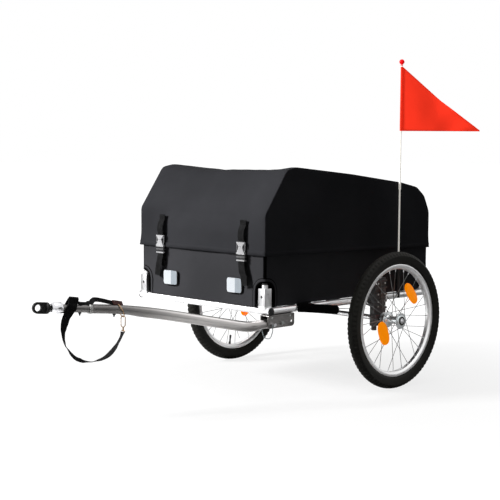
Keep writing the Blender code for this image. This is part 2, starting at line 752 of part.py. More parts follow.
def lid_profile(steps=2):
    """The lid's side outline in (y, z), from its front hem over the top to its rear hem."""
    rear_z, rear_radius = LID_REAR_CORNER
    corners = [(LID_FRONT_Y, z, 0) for z in LID_FRONT_Z]
    corners += [(FRONT_Y + y, z, 0) for y, z in LID_FRONT_CORNERS] + [(*LID_MIDDLE_CORNER, 0)]
    corners += [(REAR_Y + y, z, 0) for y, z in LID_REAR_CORNERS]
    corners += [(LID_REAR_Y, rear_z, 0), (LID_REAR_Y, HINGE_Z, 0)]
    return rounded_path(corners, (0, *LID_CORNER_RADII, rear_radius, 0), steps)


def lid_sag(x, z):
    """How far the top cloth hangs between the side hoops."""
    across = max(0.0, 1 - (x / LID_SAG_HALF_WIDTH) ** 2)
    along = min(1.0, max(0.0, (z - LID_SAG_Z[0]) / (LID_SAG_Z[1] - LID_SAG_Z[0])))
    return LID_SAG * across * along


def make_lid_cover(lid):
    profile = lid_profile()
    stations = [LID_HALF_WIDTH, LID_SAG_HALF_WIDTH, LID_SAG_HALF_WIDTH / 2]
    stations = stations + [0.0] + [-x for x in reversed(stations)]
    shape = bmesh.new()
    rows = []
    for x in stations:
        rows.append([shape.verts.new((x, y, z - lid_sag(x, z))) for y, z, _ in profile])
    for row, next_row in zip(rows, rows[1:]):
        for index in range(len(profile) - 1):
            shape.faces.new((row[index], row[index + 1], next_row[index + 1], next_row[index]))
    shape.faces.new(rows[0][::-1])
    shape.faces.new(rows[-1])
    bmesh.ops.recalc_face_normals(shape, faces=shape.faces)
    if shape.faces[0].normal.y > 0:
        bmesh.ops.reverse_faces(shape, faces=shape.faces)
    bmesh.ops.translate(shape, vec=(0, -HINGE_Y, -HINGE_Z), verts=shape.verts)
    cover = add_object("lid_cover", finished_mesh("lid_cover", shape, 60), lid, "black_fabric")
    bevelled(cover, LID_EDGE, 2, 70)
    solidified(cover, LID_WALL)


def make_lid_frame(lid):
    """Two side hoops that hold the lid up, on a base that rests on the upper frame."""
    base_z = UPPER_Z + UPPER_RADIUS + CLEARANCE + LID_FRAME_RADIUS
    hinge = Vector((0, HINGE_Y, HINGE_Z))
    corners = [Vector((sign * POST_X, POST_Y[end], base_z)) - hinge for sign, end in
               ((1, "front"), (1, "rear"), (-1, "rear"), (-1, "front"))]
    path = rounded_path(corners, [LID_FRAME_CORNER] * 4, 3, closed=True)
    frame = as_mesh(
        add_object("lid_frame", wire_curve("base", path, LID_FRAME_RADIUS, 1, True), lid, "steel")
    )
    reach = LID_WALL + CLEARANCE + LID_FRAME_RADIUS
    inner = [point for point in offset_outline(lid_profile(1), reach) if point.y > base_z]
    for side, sign in SIDES:
        x = sign * (LID_HALF_WIDTH - reach - LID_HOOP_INSET)
        front = Vector((sign * POST_X, POST_Y["front"], base_z))
        rear = Vector((sign * POST_X, POST_Y["rear"], base_z))
        hoop = [front] + [Vector((x, point.x, point.y)) for point in inner] + [rear]
        points = [point - hinge for point in hoop]
        name = f"lid_hoop_{side}"
        tool = as_mesh(add_object(name, wire_curve(name, points, LID_FRAME_RADIUS, 1), lid))
        combine(frame, "UNION", tool)


def make_front_reflector(side, sign, root):
    width, depth, height = REFLECTOR_SIZE
    x = SEWN_OFFSET + sign * REFLECTOR_X
    back = BAG_FRONT_Y - CLEARANCE
    low = (x - width / 2, back - depth, REFLECTOR_Z - height / 2)
    high = (x + width / 2, back, REFLECTOR_Z + height / 2)
    name = f"front_reflector_{side}"
    bevelled(add_object(name, box_mesh(name, low, high), root, "clear_lens"), REFLECTOR_EDGE, 1)


def make_rear_reflector(side, sign, root):
    width, depth, height = REFLECTOR_SIZE
    x = sign * REAR_REFLECTOR_X
    back = BAG_REAR_Y + CLEARANCE
    low = (x - width / 2, back, REFLECTOR_Z - height / 2)
    high = (x + width / 2, back + depth, REFLECTOR_Z + height / 2)
    name = f"rear_reflector_{side}"
    bevelled(add_object(name, box_mesh(name, low, high), root, "red_lens"), REFLECTOR_EDGE, 1)


def ribbon(name, points, across, width, thickness, parent, finish=None):
    """A flat band along the points, its width lying along one direction."""
    across = Vector(across).normalized() * width / 2
    shape = bmesh.new()
    rows = [[shape.verts.new(Vector(point) + across * side) for side in (-1, 1)] for point in points]
    for row, next_row in zip(rows, rows[1:]):
        shape.faces.new((row[0], row[1], next_row[1], next_row[0]))
    band = add_object(name, finished_mesh(name, shape), parent, finish)
    solidified(band, thickness).modifiers[-1].offset = 0
    return band


def make_box_strap(side, sign, root):
    """Webbing sewn to the bag, up behind the buckle's bar, round it and down to a loose tail."""
    x = SEWN_OFFSET + sign * STRAP_X
    half = STRAP_THICKNESS / 2
    back = BAG_FRONT_Y - CLEARANCE - half
    bar, bar_height = BUCKLE_BAR
    middle = BUCKLE_BACK_Y - BUCKLE_DEPTH / 2
    turn_z = BUCKLE_BOTTOM + bar_height + CLEARANCE + half
    behind = middle + bar + CLEARANCE + half
    ahead = middle - bar - CLEARANCE - half
    points = [
        (x, back, LOWER_SEAM_Z), (x, back, LOWER_SEAM_Z + SEWN_LENGTH),
        (x, behind, BUCKLE_BOTTOM - 2 * bar_height), (x, behind, turn_z),
        (x, ahead, turn_z), (x, ahead, BUCKLE_BOTTOM - bar_height),
    ]
    lean = sign * TAIL_LEAN
    points += [(x + lean * share, ahead + out, BUCKLE_BOTTOM - drop) for share, drop, out in TAIL_ROUTE]
    ribbon(f"box_strap_{side}", points, (1, 0, 0), STRAP_WIDTH, STRAP_THICKNESS, root, "webbing")


def make_lid_strap(side, sign, lid):
    """Webbing sewn to the lid front, hanging down to the buckle."""
    x = SEWN_OFFSET + sign * STRAP_X
    y = LID_FRONT_Y - CLEARANCE - STRAP_THICKNESS / 2
    bar_y = BUCKLE_BACK_Y - BUCKLE_DEPTH / 2
    hinge = Vector((0, HINGE_Y, HINGE_Z))
    points = [
        Vector((x, y, STRAP_SEAM_Z)) - hinge,
        Vector((x, y, BUCKLE_TOP + SEWN_LENGTH)) - hinge,
        Vector((x, bar_y, BUCKLE_TOP + PRONG_WAIST)) - hinge,
        Vector((x, bar_y, BUCKLE_TOP + CLEARANCE)) - hinge,
    ]
    ribbon(f"lid_strap_{side}", points, (1, 0, 0), STRAP_WIDTH, STRAP_THICKNESS, lid, "webbing")


def make_lower_buckle(side, sign, root):
    """The socket half: open at the top, with a window in each side and a bar for the webbing."""
    x = SEWN_OFFSET + sign * STRAP_X
    name = f"buckle_lower_{side}"
    half = BUCKLE_WIDTH / 2
    front = BUCKLE_BACK_Y - BUCKLE_DEPTH
    low = (x - half, front, BUCKLE_BOTTOM)
    high = (x + half, BUCKLE_BACK_Y, BUCKLE_SPLIT)
    buckle = add_object(name, box_mesh(name, low, high), root, "black_plastic")
    bevelled(buckle, BUCKLE_EDGE, 1)
    front_skin, back_skin = BUCKLE_SKIN
    pocket_low = (x - half + BUCKLE_WALL, front + front_skin, BUCKLE_BOTTOM + BUCKLE_POCKET_FLOOR)
    pocket_high = (x + half - BUCKLE_WALL, BUCKLE_BACK_Y - back_skin, BUCKLE_SPLIT + OVERSHOOT)
    combine(buckle, "DIFFERENCE", box_mesh("pocket", pocket_low, pocket_high))
    front_skin, back_skin = BUCKLE_WINDOW_SKIN
    window_low = (x - BUCKLE_WIDTH, front + front_skin, BUCKLE_SPLIT - BUCKLE_WINDOW[0])
    window_high = (x + BUCKLE_WIDTH, BUCKLE_BACK_Y - back_skin, BUCKLE_SPLIT - BUCKLE_WINDOW[1])
    combine(buckle, "DIFFERENCE", box_mesh("window", window_low, window_high))
    bar, bar_height = BUCKLE_BAR
    slot_half = half - BUCKLE_SLOT_END
    slot_low = (x - slot_half, front - OVERSHOOT, BUCKLE_BOTTOM + bar_height)
    slot_high = (x + slot_half, BUCKLE_BACK_Y + OVERSHOOT, BUCKLE_BOTTOM + BUCKLE_SLOT_TOP)
    combine(buckle, "DIFFERENCE", box_mesh("slot", slot_low, slot_high))
    bar_room = BUCKLE_DEPTH / 2 - bar
    for low_y, high_y in ((front - OVERSHOOT, front + bar_room),
                          (BUCKLE_BACK_Y - bar_room, BUCKLE_BACK_Y + OVERSHOOT)):
        room_low = (x - slot_half, low_y, BUCKLE_BOTTOM - OVERSHOOT)
        room_high = (x + slot_half, high_y, BUCKLE_BOTTOM + bar_height + CLEARANCE)
        combine(buckle, "DIFFERENCE", box_mesh("bar room", room_low, room_high))


def make_upper_buckle(side, sign, lid):
    """The plug half: a head for the webbing, a guide tongue and two springy side prongs."""
    x = SEWN_OFFSET + sign * STRAP_X
    name = f"buckle_upper_{side}"
    seat = BUCKLE_SPLIT + CLEARANCE
    half = BUCKLE_WIDTH / 2
    outer = half - BUCKLE_WALL - CLEARANCE
    inner = outer - PRONG_WIDTH
    neck, catch_top, catch_foot, tip, inner_tip = (BUCKLE_SPLIT - drop for drop in PRONG_HEIGHTS)
    right = (
        (half - BUCKLE_EDGE * 2, BUCKLE_TOP), (half, BUCKLE_TOP - BUCKLE_EDGE * 2), (half, seat),
        (outer - PRONG_WAIST / 2, seat), (outer - PRONG_WAIST, neck), (outer, catch_top),
        (outer, catch_foot), (outer - PRONG_WAIST, tip), (inner, inner_tip), (inner, seat + CHAMFER),
        (TONGUE_HALF_WIDTH, seat + CHAMFER), (TONGUE_HALF_WIDTH, BUCKLE_SPLIT - TONGUE_LENGTH),
    )
    outline = list(right) + [(-across, height) for across, height in reversed(right)]
    hinge = Vector((0, HINGE_Y, HINGE_Z))
    middle = BUCKLE_BACK_Y - BUCKLE_DEPTH + BUCKLE_PLUG_DEPTH + BUCKLE_PLUG_THICKNESS / 2
    centre = Vector((x, middle, 0)) - hinge
    plate = plate_curve(name, [outline], BUCKLE_PLUG_THICKNESS)
    plug = as_mesh(add_object(name, plate, lid, "black_plastic", centre, ALONG_Y))
    low = Vector((x - half, BUCKLE_BACK_Y - BUCKLE_DEPTH, seat)) - hinge
    high = Vector((x + half, BUCKLE_BACK_Y, BUCKLE_TOP)) - hinge
    head = combine(plug, "UNION", box_mesh("head", low, high))
    bevelled(head, BUCKLE_EDGE, 1)


def make_wheel_carrier(side, sign, root):
    """A ribbed moulding clamped over the side rail, with a boss for the axle and a strut below."""
    inner, outer = CARRIER_X
    rail_gap = TUBE_RADIUS + CLEARANCE
    bottom = AXLE_Z - CARRIER_DROP
    pitch = (CARRIER_TOP - bottom) / CARRIER_RIBS
    comb = []
    for index in range(CARRIER_RIBS):
        z = bottom + pitch * index
        comb += [(outer, z), (outer, z + pitch * 0.45), (CARRIER_RIB_X, z + pitch * 0.45),
                 (CARRIER_RIB_X, z + pitch * 0.75), (outer, z + pitch * 0.75)]
    arm_z = FRAME_Z - rail_gap
    arm_x = RAIL_X - TUBE_RADIUS
    outline = comb + [(outer, CARRIER_TOP), (inner, CARRIER_TOP), (inner, arm_z), (arm_x, arm_z),
                      (arm_x, arm_z - CARRIER_ARM[0]), (inner, arm_z - CARRIER_ARM[1]), (inner, bottom)]
    outline = [(sign * x, z) for x, z in outline][::sign]
    depth = CARRIER_Y[1] - CARRIER_Y[0]
    middle = (CARRIER_Y[0] + CARRIER_Y[1]) / 2
    name = f"wheel_carrier_{side}"
    curve = plate_curve(name, [outline], depth)
    carrier = as_mesh(add_object(name, curve, root, "black_plastic", (0, middle, 0), ALONG_Y))
    strut_x = sign * STRUT_X
    foot, waist, shoulder = (AXLE_Z + height for height in STRUT_HEIGHTS)
    strut = rod_mesh("strut", STRUT_RADIUS, (strut_x, STRUT_Y, waist), (strut_x, STRUT_Y, shoulder), 14)
    combine(carrier, "UNION", strut)
    top = (strut_x, STRUT_Y, waist + STRUT_FOOT_RADIUS)
    combine(carrier, "UNION", rod_mesh("end", STRUT_FOOT_RADIUS, (strut_x, STRUT_Y, foot), top, 12))
    boss_start = sign * (inner + BOSS_SEAT)
    boss_end = sign * (WHEEL_X + HUB_INNER_END - CLEARANCE)
    boss = rod_mesh("boss", BOSS_RADIUS, (boss_start, 0, AXLE_Z), (boss_end, 0, AXLE_Z))
    combine(carrier, "UNION", boss)
    bore_start = sign * (arm_x - OVERSHOOT)
    bore_end = boss_end + sign * OVERSHOOT
    bore = rod_mesh("bore", AXLE_RADIUS + CLEARANCE, (bore_start, 0, AXLE_Z), (bore_end, 0, AXLE_Z))
    combine(carrier, "DIFFERENCE", bore)


def make_tyre(name, wheel, turn):
    """The tyre and the tube in it, seated in the rim's channel."""
    bead = RIM_RADIUS - BEAD_DEPTH + CLEARANCE
    seat = RIM_HALF_WIDTH - RIM_WALL - CLEARANCE
    centre = TYRE_RADIUS - TYRE_SECTION
    angles = [math.radians(angle) for angle in (-54, -18, 18, 54)]
    flank = [(centre + TYRE_SECTION * math.sin(angle), TYRE_SECTION * math.cos(angle)) for angle in angles]
    half = [(bead, seat), (RIM_RADIUS + CLEARANCE, seat)] + flank
    profile = half + [(TYRE_RADIUS, 0)] + [(radius, -across) for radius, across in reversed(half)]
    turned(name, profile, wheel, "rubber", rotation=turn, steps=WHEEL_STEPS, ring=True)


def make_rim(name, wheel, turn):
    half = (
        (RIM_INNER_RADIUS, RIM_FLOOR_HALF_WIDTH), (RIM_INNER_RADIUS + RIM_SLOPE, RIM_HALF_WIDTH),
        (RIM_RADIUS, RIM_HALF_WIDTH), (RIM_RADIUS, RIM_HALF_WIDTH - RIM_WALL),
        (RIM_RADIUS - BEAD_DEPTH, RIM_HALF_WIDTH - RIM_WALL),
    )
    profile = half + tuple((radius, -across) for radius, across in reversed(half))
    turned(name, profile, wheel, "alloy", rotation=turn, steps=WHEEL_STEPS, ring=True)


def spokes_mesh(name):
    """Spokes laced from both flanges to the rim, each crossing its neighbours."""
    shape = bmesh.new()
    lead = 2 * math.pi * SPOKE_CROSSINGS / SPOKES_PER_FLANGE
    reach = RIM_INNER_RADIUS * math.cos(math.pi / WHEEL_STEPS) - SPOKE_RADIUS * 0.2 - CLEARANCE
    for flange, offset in ((OUTER_FLANGE_X, 0), (INNER_FLANGE_X, 0.5)):
        outward = math.copysign(1, flange)
        for index in range(SPOKES_PER_FLANGE):
            trailing = index % 2
            hole = 2 * math.pi * (index + offset) / SPOKES_PER_FLANGE
            nipple = hole + (lead if trailing else -lead)
            head = flange + outward * (-SPOKE_LAYER / 2 if trailing else SPOKE_LAYER / 2)
            seat = outward * (SPOKE_LAYER / 2 if trailing else 1.5 * SPOKE_LAYER)
            start = Vector((SPOKE_HOLE_RADIUS * math.cos(hole), SPOKE_HOLE_RADIUS * math.sin(hole), head))
            end = Vector((reach * math.cos(nipple), reach * math.sin(nipple), seat))
            run = end - start
            turn = Vector((0, 0, 1)).rotation_difference(run).to_matrix().to_4x4()
            place = Matrix.Translation(start + run / 2) @ turn
            bmesh.ops.create_cone(
                shape, cap_ends=True, segments=3, radius1=SPOKE_RADIUS, radius2=SPOKE_RADIUS,
                depth=run.length, matrix=place,
            )
    return finished_mesh(name, shape, 50)


def make_hub(name, wheel, turn):
    """The hub shell with its spokes, bored for the axle."""
    bore = AXLE_RADIUS + CLEARANCE
    recess = AXLE_CAP_RADIUS + CLEARANCE
    shoulder = HUB_BARREL_RADIUS + HUB_FILLET
    boss = HUB_COVER_RADIUS - 2 * CHAMFER
    half = FLANGE_THICKNESS / 2
    profile = (
        (recess, HUB_OUTER_END), (HUB_COVER_RADIUS - CHAMFER, HUB_OUTER_END),
        (HUB_COVER_RADIUS, HUB_OUTER_END - CHAMFER), (HUB_COVER_RADIUS, OUTER_FLANGE_X + half),
        (FLANGE_RADIUS, OUTER_FLANGE_X + half), (FLANGE_RADIUS, OUTER_FLANGE_X - half),
        (shoulder, OUTER_FLANGE_X - half - HUB_FILLET), (HUB_BARREL_RADIUS, HUB_BARREL_ENDS[0]),
        (HUB_BARREL_RADIUS, HUB_BARREL_ENDS[1]), (shoulder, INNER_FLANGE_X + half + HUB_FILLET),
        (FLANGE_RADIUS, INNER_FLANGE_X + half), (FLANGE_RADIUS, INNER_FLANGE_X - half),
        (boss, INNER_FLANGE_X - half), (boss, HUB_INNER_END),
        (bore, HUB_INNER_END), (bore, OUTER_FLANGE_X + half), (recess, OUTER_FLANGE_X + half),
    )
    hub = turned(name, profile, wheel, "alloy", rotation=turn, steps=16, ring=True)
    combine(hub, "UNION", spokes_mesh("spokes"), wheel, rotation=turn)


def make_axle(side, sign, root):
    """The push-button axle: it stays in the frame while the wheel turns on it."""
    turn = Euler((0, sign * math.radians(90), 0))
    hub_face = OUTER_FLANGE_X + FLANGE_THICKNESS / 2 + CLEARANCE
    inner_end = AXLE_CAP_END - AXLE_LENGTH
    floor = AXLE_CAP_END - CHAMFER - BUTTON_TRAVEL - CLEARANCE
    stem_room = BUTTON_STEM_RADIUS + CLEARANCE
    profile = (
        (BUTTON_RADIUS + CLEARANCE, AXLE_CAP_END), (AXLE_CAP_RADIUS - CHAMFER, AXLE_CAP_END),
        (AXLE_CAP_RADIUS, AXLE_CAP_END - CHAMFER), (AXLE_CAP_RADIUS, hub_face), (AXLE_RADIUS, hub_face),
        (AXLE_RADIUS, inner_end + 2 * CHAMFER), (AXLE_RADIUS - 2 * CHAMFER, inner_end), (0, inner_end),
        (0, AXLE_CAP_END - BUTTON_STEM_LENGTH - BUTTON_TRAVEL),
        (stem_room, AXLE_CAP_END - BUTTON_STEM_LENGTH - BUTTON_TRAVEL),
        (stem_room, floor), (BUTTON_RADIUS + CLEARANCE, floor), (BUTTON_RADIUS + CLEARANCE, AXLE_CAP_END),
    )
    place = (sign * WHEEL_X, 0, AXLE_Z)
    turned(f"axle_pin_{side}", profile, root, "chrome", place, turn, steps=12)
    head = AXLE_CAP_END - CHAMFER
    button = (
        (0, BUTTON_END), (BUTTON_RADIUS - CHAMFER, BUTTON_END), (BUTTON_RADIUS, BUTTON_END - CHAMFER),
        (BUTTON_RADIUS, head), (BUTTON_STEM_RADIUS, head),
        (BUTTON_STEM_RADIUS, AXLE_CAP_END - BUTTON_STEM_LENGTH + CLEARANCE),
        (0, AXLE_CAP_END - BUTTON_STEM_LENGTH + CLEARANCE),
    )
    turned(f"axle_button_{side}", button, root, "steel", place, turn, steps=12)


def make_spoke_reflector(label, radius, angle, heading, seat, side, sign, wheel):
    """A lens clipped on the outer spokes, leaning in with them."""
    length, width, depth = SPOKE_REFLECTOR_SIZE
    share = (radius - SPOKE_HOLE_RADIUS) / (RIM_INNER_RADIUS - SPOKE_HOLE_RADIUS)
    head = OUTER_FLANGE_X + SPOKE_LAYER / 2
    fall = head - 1.5 * SPOKE_LAYER
    lean = math.atan2(fall, RIM_INNER_RADIUS - SPOKE_HOLE_RADIUS)
    x = head - fall * share - seat
    x += (SPOKE_RADIUS + CLEARANCE + depth / 2) / math.cos(lean)
    out = math.radians(angle)
    corners = [SPOKE_REFLECTOR_CORNER] * 4
    outline = rounded_box_outline((-width / 2, -length / 2), (width / 2, length / 2), corners, 3)
    name = f"spoke_reflector_{label}_{side}"
    lens = add_object(name, plate_curve(name, [outline], depth), wheel, "orange_lens")
    radial = Vector((0, math.cos(out), math.sin(out)))
    normal = (Vector((1, 0, 0)) * math.cos(lean) + radial * math.sin(lean)).normalized()
    twist = math.radians(heading)
    inward = Vector((0, math.cos(twist), math.sin(twist)))
    first = (inward - normal * inward.dot(normal)).normalized()
    basis = Matrix((first, normal.cross(first), normal)).transposed()
    if sign < 0:
        basis = Matrix.Rotation(math.pi, 3, "Z") @ basis
        radial = Vector((0, -radial.y, radial.z))
    lens.rotation_euler = basis.to_euler()
    lens.location = Vector((sign * x, 0, 0)) + radial * radius


def make_wheel(side, sign, root):
    wheel = add_empty(f"wheel_{side}", root, (sign * WHEEL_X, 0, AXLE_Z))
    turn = Euler((0, sign * math.radians(90), 0))
    make_tyre(f"tyre_{side}", wheel, turn)
    make_rim(f"rim_{side}", wheel, turn)
    make_hub(f"hub_{side}", wheel, turn)
    for label, radius, angle, heading, seat in SPOKE_REFLECTORS:
        make_spoke_reflector(label, radius, angle, heading, seat, side, sign, wheel)


def make_flag(root):
    """A socket on the left rail, a pole that lifts out of it and a pennant that turns on the pole."""
    foot = (POLE_X, POLE_Y, FRAME_Z - SOCKET_DROP)
    tube = rod_mesh("socket", SOCKET_RADIUS, foot, (POLE_X, POLE_Y, SOCKET_TOP))
    socket = add_object("flag_socket", tube, root, "black_plastic")
    reach = 4 * TUBE_RADIUS
    rail_ends = [(RAIL_X, POLE_Y + way * reach, FRAME_Z) for way in (-1, 1)]
    combine(socket, "DIFFERENCE", rod_mesh("rail room", TUBE_RADIUS + CLEARANCE, *rail_ends))
    bore_ends = [(POLE_X, POLE_Y, z) for z in (POLE_FOOT - CLEARANCE, SOCKET_TOP + OVERSHOOT)]
    combine(socket, "DIFFERENCE", rod_mesh("bore", POLE_RADIUS + CLEARANCE, *bore_ends))

    pole = add_empty("flag_slide", root, (POLE_X, POLE_Y, 0))
    sleeve = POLE_RADIUS + POLE_SLEEVE
    joint_top = POLE_JOINT_Z + POLE_SLEEVE_LENGTH / 2
    joint_foot = POLE_JOINT_Z - POLE_SLEEVE_LENGTH / 2
    stop = PENNANT_BOTTOM - CLEARANCE
    ball = [math.radians(90 - 30 * step) for step in range(6)]
    ball_z = POLE_TOP + FLAG_BALL_RISE
    profile = [
        (FLAG_BALL_RADIUS * math.cos(turn), ball_z + FLAG_BALL_RADIUS * math.sin(turn)) for turn in ball
    ]
    profile[0] = (0, profile[0][1])
    profile += [
        (POLE_RADIUS, ball_z - FLAG_BALL_RADIUS * 0.95), (POLE_RADIUS, stop), (sleeve, stop),
        (sleeve, stop - POLE_STOP_LENGTH), (POLE_RADIUS, stop - POLE_STOP_LENGTH),
        (POLE_RADIUS, joint_top), (sleeve, joint_top), (sleeve, joint_foot), (POLE_RADIUS, joint_foot),
        (POLE_RADIUS, POLE_FOOT), (0, POLE_FOOT),
    ]
    turned("flag_pole", profile, pole, "pale_plastic", steps=10)

    hem_radius = POLE_RADIUS + CLEARANCE + PENNANT_CLOTH
    hem_profile = (
        (POLE_RADIUS + CLEARANCE, PENNANT_TOP), (hem_radius, PENNANT_TOP),
        (hem_radius, PENNANT_BOTTOM), (POLE_RADIUS + CLEARANCE, PENNANT_BOTTOM),
    )
    hem = turned("pennant", hem_profile, pole, "red_fabric", steps=12, ring=True)
    start = POLE_RADIUS + CLEARANCE + PENNANT_CLOTH / 2
    outline = (
        (start, PENNANT_BOTTOM), (PENNANT_LENGTH, PENNANT_BOTTOM),
        (PENNANT_LENGTH, PENNANT_BOTTOM + PENNANT_TIP),
        (PENNANT_LENGTH * 0.5, PENNANT_BOTTOM + PENNANT_HEIGHT * 0.47), (start, PENNANT_TOP),
    )
    turn = Euler((math.radians(90), 0, math.radians(PENNANT_HEADING)))
    cloth = plate_curve("cloth", [outline], PENNANT_CLOTH)
    combine(hem, "UNION", as_mesh(add_object("pennant_cloth", cloth, pole, rotation=turn)))


def bar_path():
    """The centre line of the rear tube, from the bracket to the collar."""
    corners = (
        (BRACKET_X, FRONT_Y + DRAWBAR_REAR_OFFSET, DRAWBAR_Z),
        (BRACKET_X, FRONT_Y + FIRST_BEND_OFFSET, DRAWBAR_Z),
        SECOND_BEND, COLLAR_POINT + BAR_AXIS * (BAR_COLLAR_ENDS[0] - CLEARANCE),
    )
    return rounded_path(corners, (0, *BEND_RADII, 0), 6)


def cross_rod(name, radius, place, left, right, sides=24):
    y, z = place
    return rod_mesh(name, radius, (BRACKET_X - left, y, z), (BRACKET_X + right, y, z), sides)


def make_bracket(root):
    """An upside-down channel under the left rail, drilled for the pivot bolt and the lock pin."""
    top = FRAME_Z - TUBE_RADIUS - CLEARANCE
    outline = rounded_box_outline(
        (BRACKET_FRONT_Y, BRACKET_BOTTOM), (BRACKET_REAR_Y, top), BRACKET_CORNERS, 3
    )
    curve = plate_curve("drawbar_bracket", [outline], BRACKET_WIDTH)
    bracket = as_mesh(add_object("drawbar_bracket", curve, root, "steel", (BRACKET_X, 0, 0), ALONG_X))
    half = BRACKET_WIDTH / 2 - BRACKET_WALL
    low = (BRACKET_X - half, BRACKET_FRONT_Y - OVERSHOOT, BRACKET_BOTTOM - OVERSHOOT)
    high = (BRACKET_X + half, BRACKET_REAR_Y + OVERSHOOT, top - BRACKET_WALL)
    combine(bracket, "DIFFERENCE", box_mesh("inside", low, high))
    holes = ((PIVOT_BOLT, BOLT_RADIUS + CLEARANCE), (LOCK_PIN, BOLT_RADIUS + CLEARANCE),
             (SPARE_HOLE, SPARE_HOLE_RADIUS))
    for place, radius in holes:
        hole = cross_rod("hole", radius, place, BRACKET_WIDTH, BRACKET_WIDTH, 12)
        combine(bracket, "DIFFERENCE", hole)


def make_drawbar(root, bar):
    tube = add_object("drawbar_rear_tube", wire_curve("tube", bar_path(), DRAWBAR_RADIUS, 5), root, "alloy")
    tube = as_mesh(tube)
    for place in (PIVOT_BOLT, LOCK_PIN):
        hole = cross_rod("hole", BOLT_RADIUS + CLEARANCE, place, BRACKET_WIDTH, BRACKET_WIDTH, 12)
        combine(tube, "DIFFERENCE", hole)

    start, front = BAR_COLLAR_ENDS[0] + CLEARANCE, BAR_COLLAR_ENDS[1]
    bore = FRONT_TUBE_RADIUS + CLEARANCE
    outer = BAR_COLLAR_RADIUS
    collar = ((bore, front), (outer - CHAMFER, front), (outer, front - CHAMFER), (outer, start + CHAMFER),
              (outer - CHAMFER, start), (bore, start))
    turned("drawbar_collar", collar, bar, "pale_plastic", steps=16, ring=True)
    end = FRONT_TUBE_LENGTH
    profile = (
        (0, end + SPIGOT_LENGTH), (SPIGOT_RADIUS, end + SPIGOT_LENGTH), (SPIGOT_RADIUS, end),
        (FRONT_TUBE_RADIUS, end), (FRONT_TUBE_RADIUS, start), (0, start),
    )
    turned("drawbar_front_tube", profile, bar, "alloy", steps=16)


def make_pins(root):
    half = BRACKET_WIDTH / 2
    head_start = half + CLEARANCE
    bolt_rod = cross_rod("bolt", BOLT_RADIUS, PIVOT_BOLT, half + BOLT_ENDS[0], half + BOLT_ENDS[1], 16)
    bolt = add_object("pivot_bolt", bolt_rod, root, "steel")
    head_end = head_start + BOLT_HEAD_LENGTH
    nut_end = head_start + BOLT_NUT_LENGTH
    combine(bolt, "UNION", cross_rod("head", BOLT_HEAD_RADIUS, PIVOT_BOLT, -head_start, head_end, 12))
    combine(bolt, "UNION", cross_rod("nut", BOLT_HEAD_RADIUS, PIVOT_BOLT, nut_end, -head_start, 6))

    y, z = LOCK_PIN
    tip = half + PIN_TIP
    pin = add_object("lock_pin", cross_rod("pin", BOLT_RADIUS, LOCK_PIN, tip, half + BOLT_ENDS[1], 12), root,
                     "chrome")
    head_end = head_start + PIN_HEAD_LENGTH
    combine(pin, "UNION", cross_rod("head", PIN_HEAD_RADIUS, LOCK_PIN, -head_start, head_end, 12))
    pivot_x = BRACKET_X + head_start + PIN_HEAD_LENGTH / 2
    hole_ends = [(pivot_x, y + way * 2 * PIN_HEAD_RADIUS, z) for way in (-1, 1)]
    combine(pin, "DIFFERENCE", rod_mesh("cross hole", BAIL_RADIUS + CLEARANCE, *hole_ends, 8))
    groove_x = BRACKET_X - tip + PIN_GROOVE_INSET
    floor, rise = PIN_GROOVE
    profile = ((floor, rise), (2 * floor, rise), (2 * floor, -rise), (floor, -rise))
    groove = turned("pin_groove", profile, root, location=(groove_x, y, z), rotation=ALONG_X, steps=12,
                    ring=True)
    combine(pin, "DIFFERENCE", groove)

    bail = add_empty("bail_hinge", root, (pivot_x, y, z))
    latch_z = -floor - CLEARANCE - BAIL_RADIUS
    latch_x = groove_x - pivot_x
    ahead, low = BAIL_AHEAD, -BAIL_DEPTH
    corners = (
        (0, BAIL_PIVOT_END, 0), (0, ahead, 0), (BAIL_SPREAD, ahead, -BAIL_SHOULDER),
        (-BAIL_NARROWING, ahead, low), (latch_x + BAIL_NARROWING, ahead, low),
        (latch_x - BAIL_SPREAD, ahead, -BAIL_SHOULDER), (latch_x, ahead, latch_z),
        (latch_x, BAIL_LATCH_END, latch_z),
    )
    path = rounded_path(corners, (0, *BAIL_BENDS, *reversed(BAIL_BENDS), 0), 3)
    add_object("pin_bail", wire_curve("pin_bail", path, BAIL_RADIUS, 1), bail, "chrome")


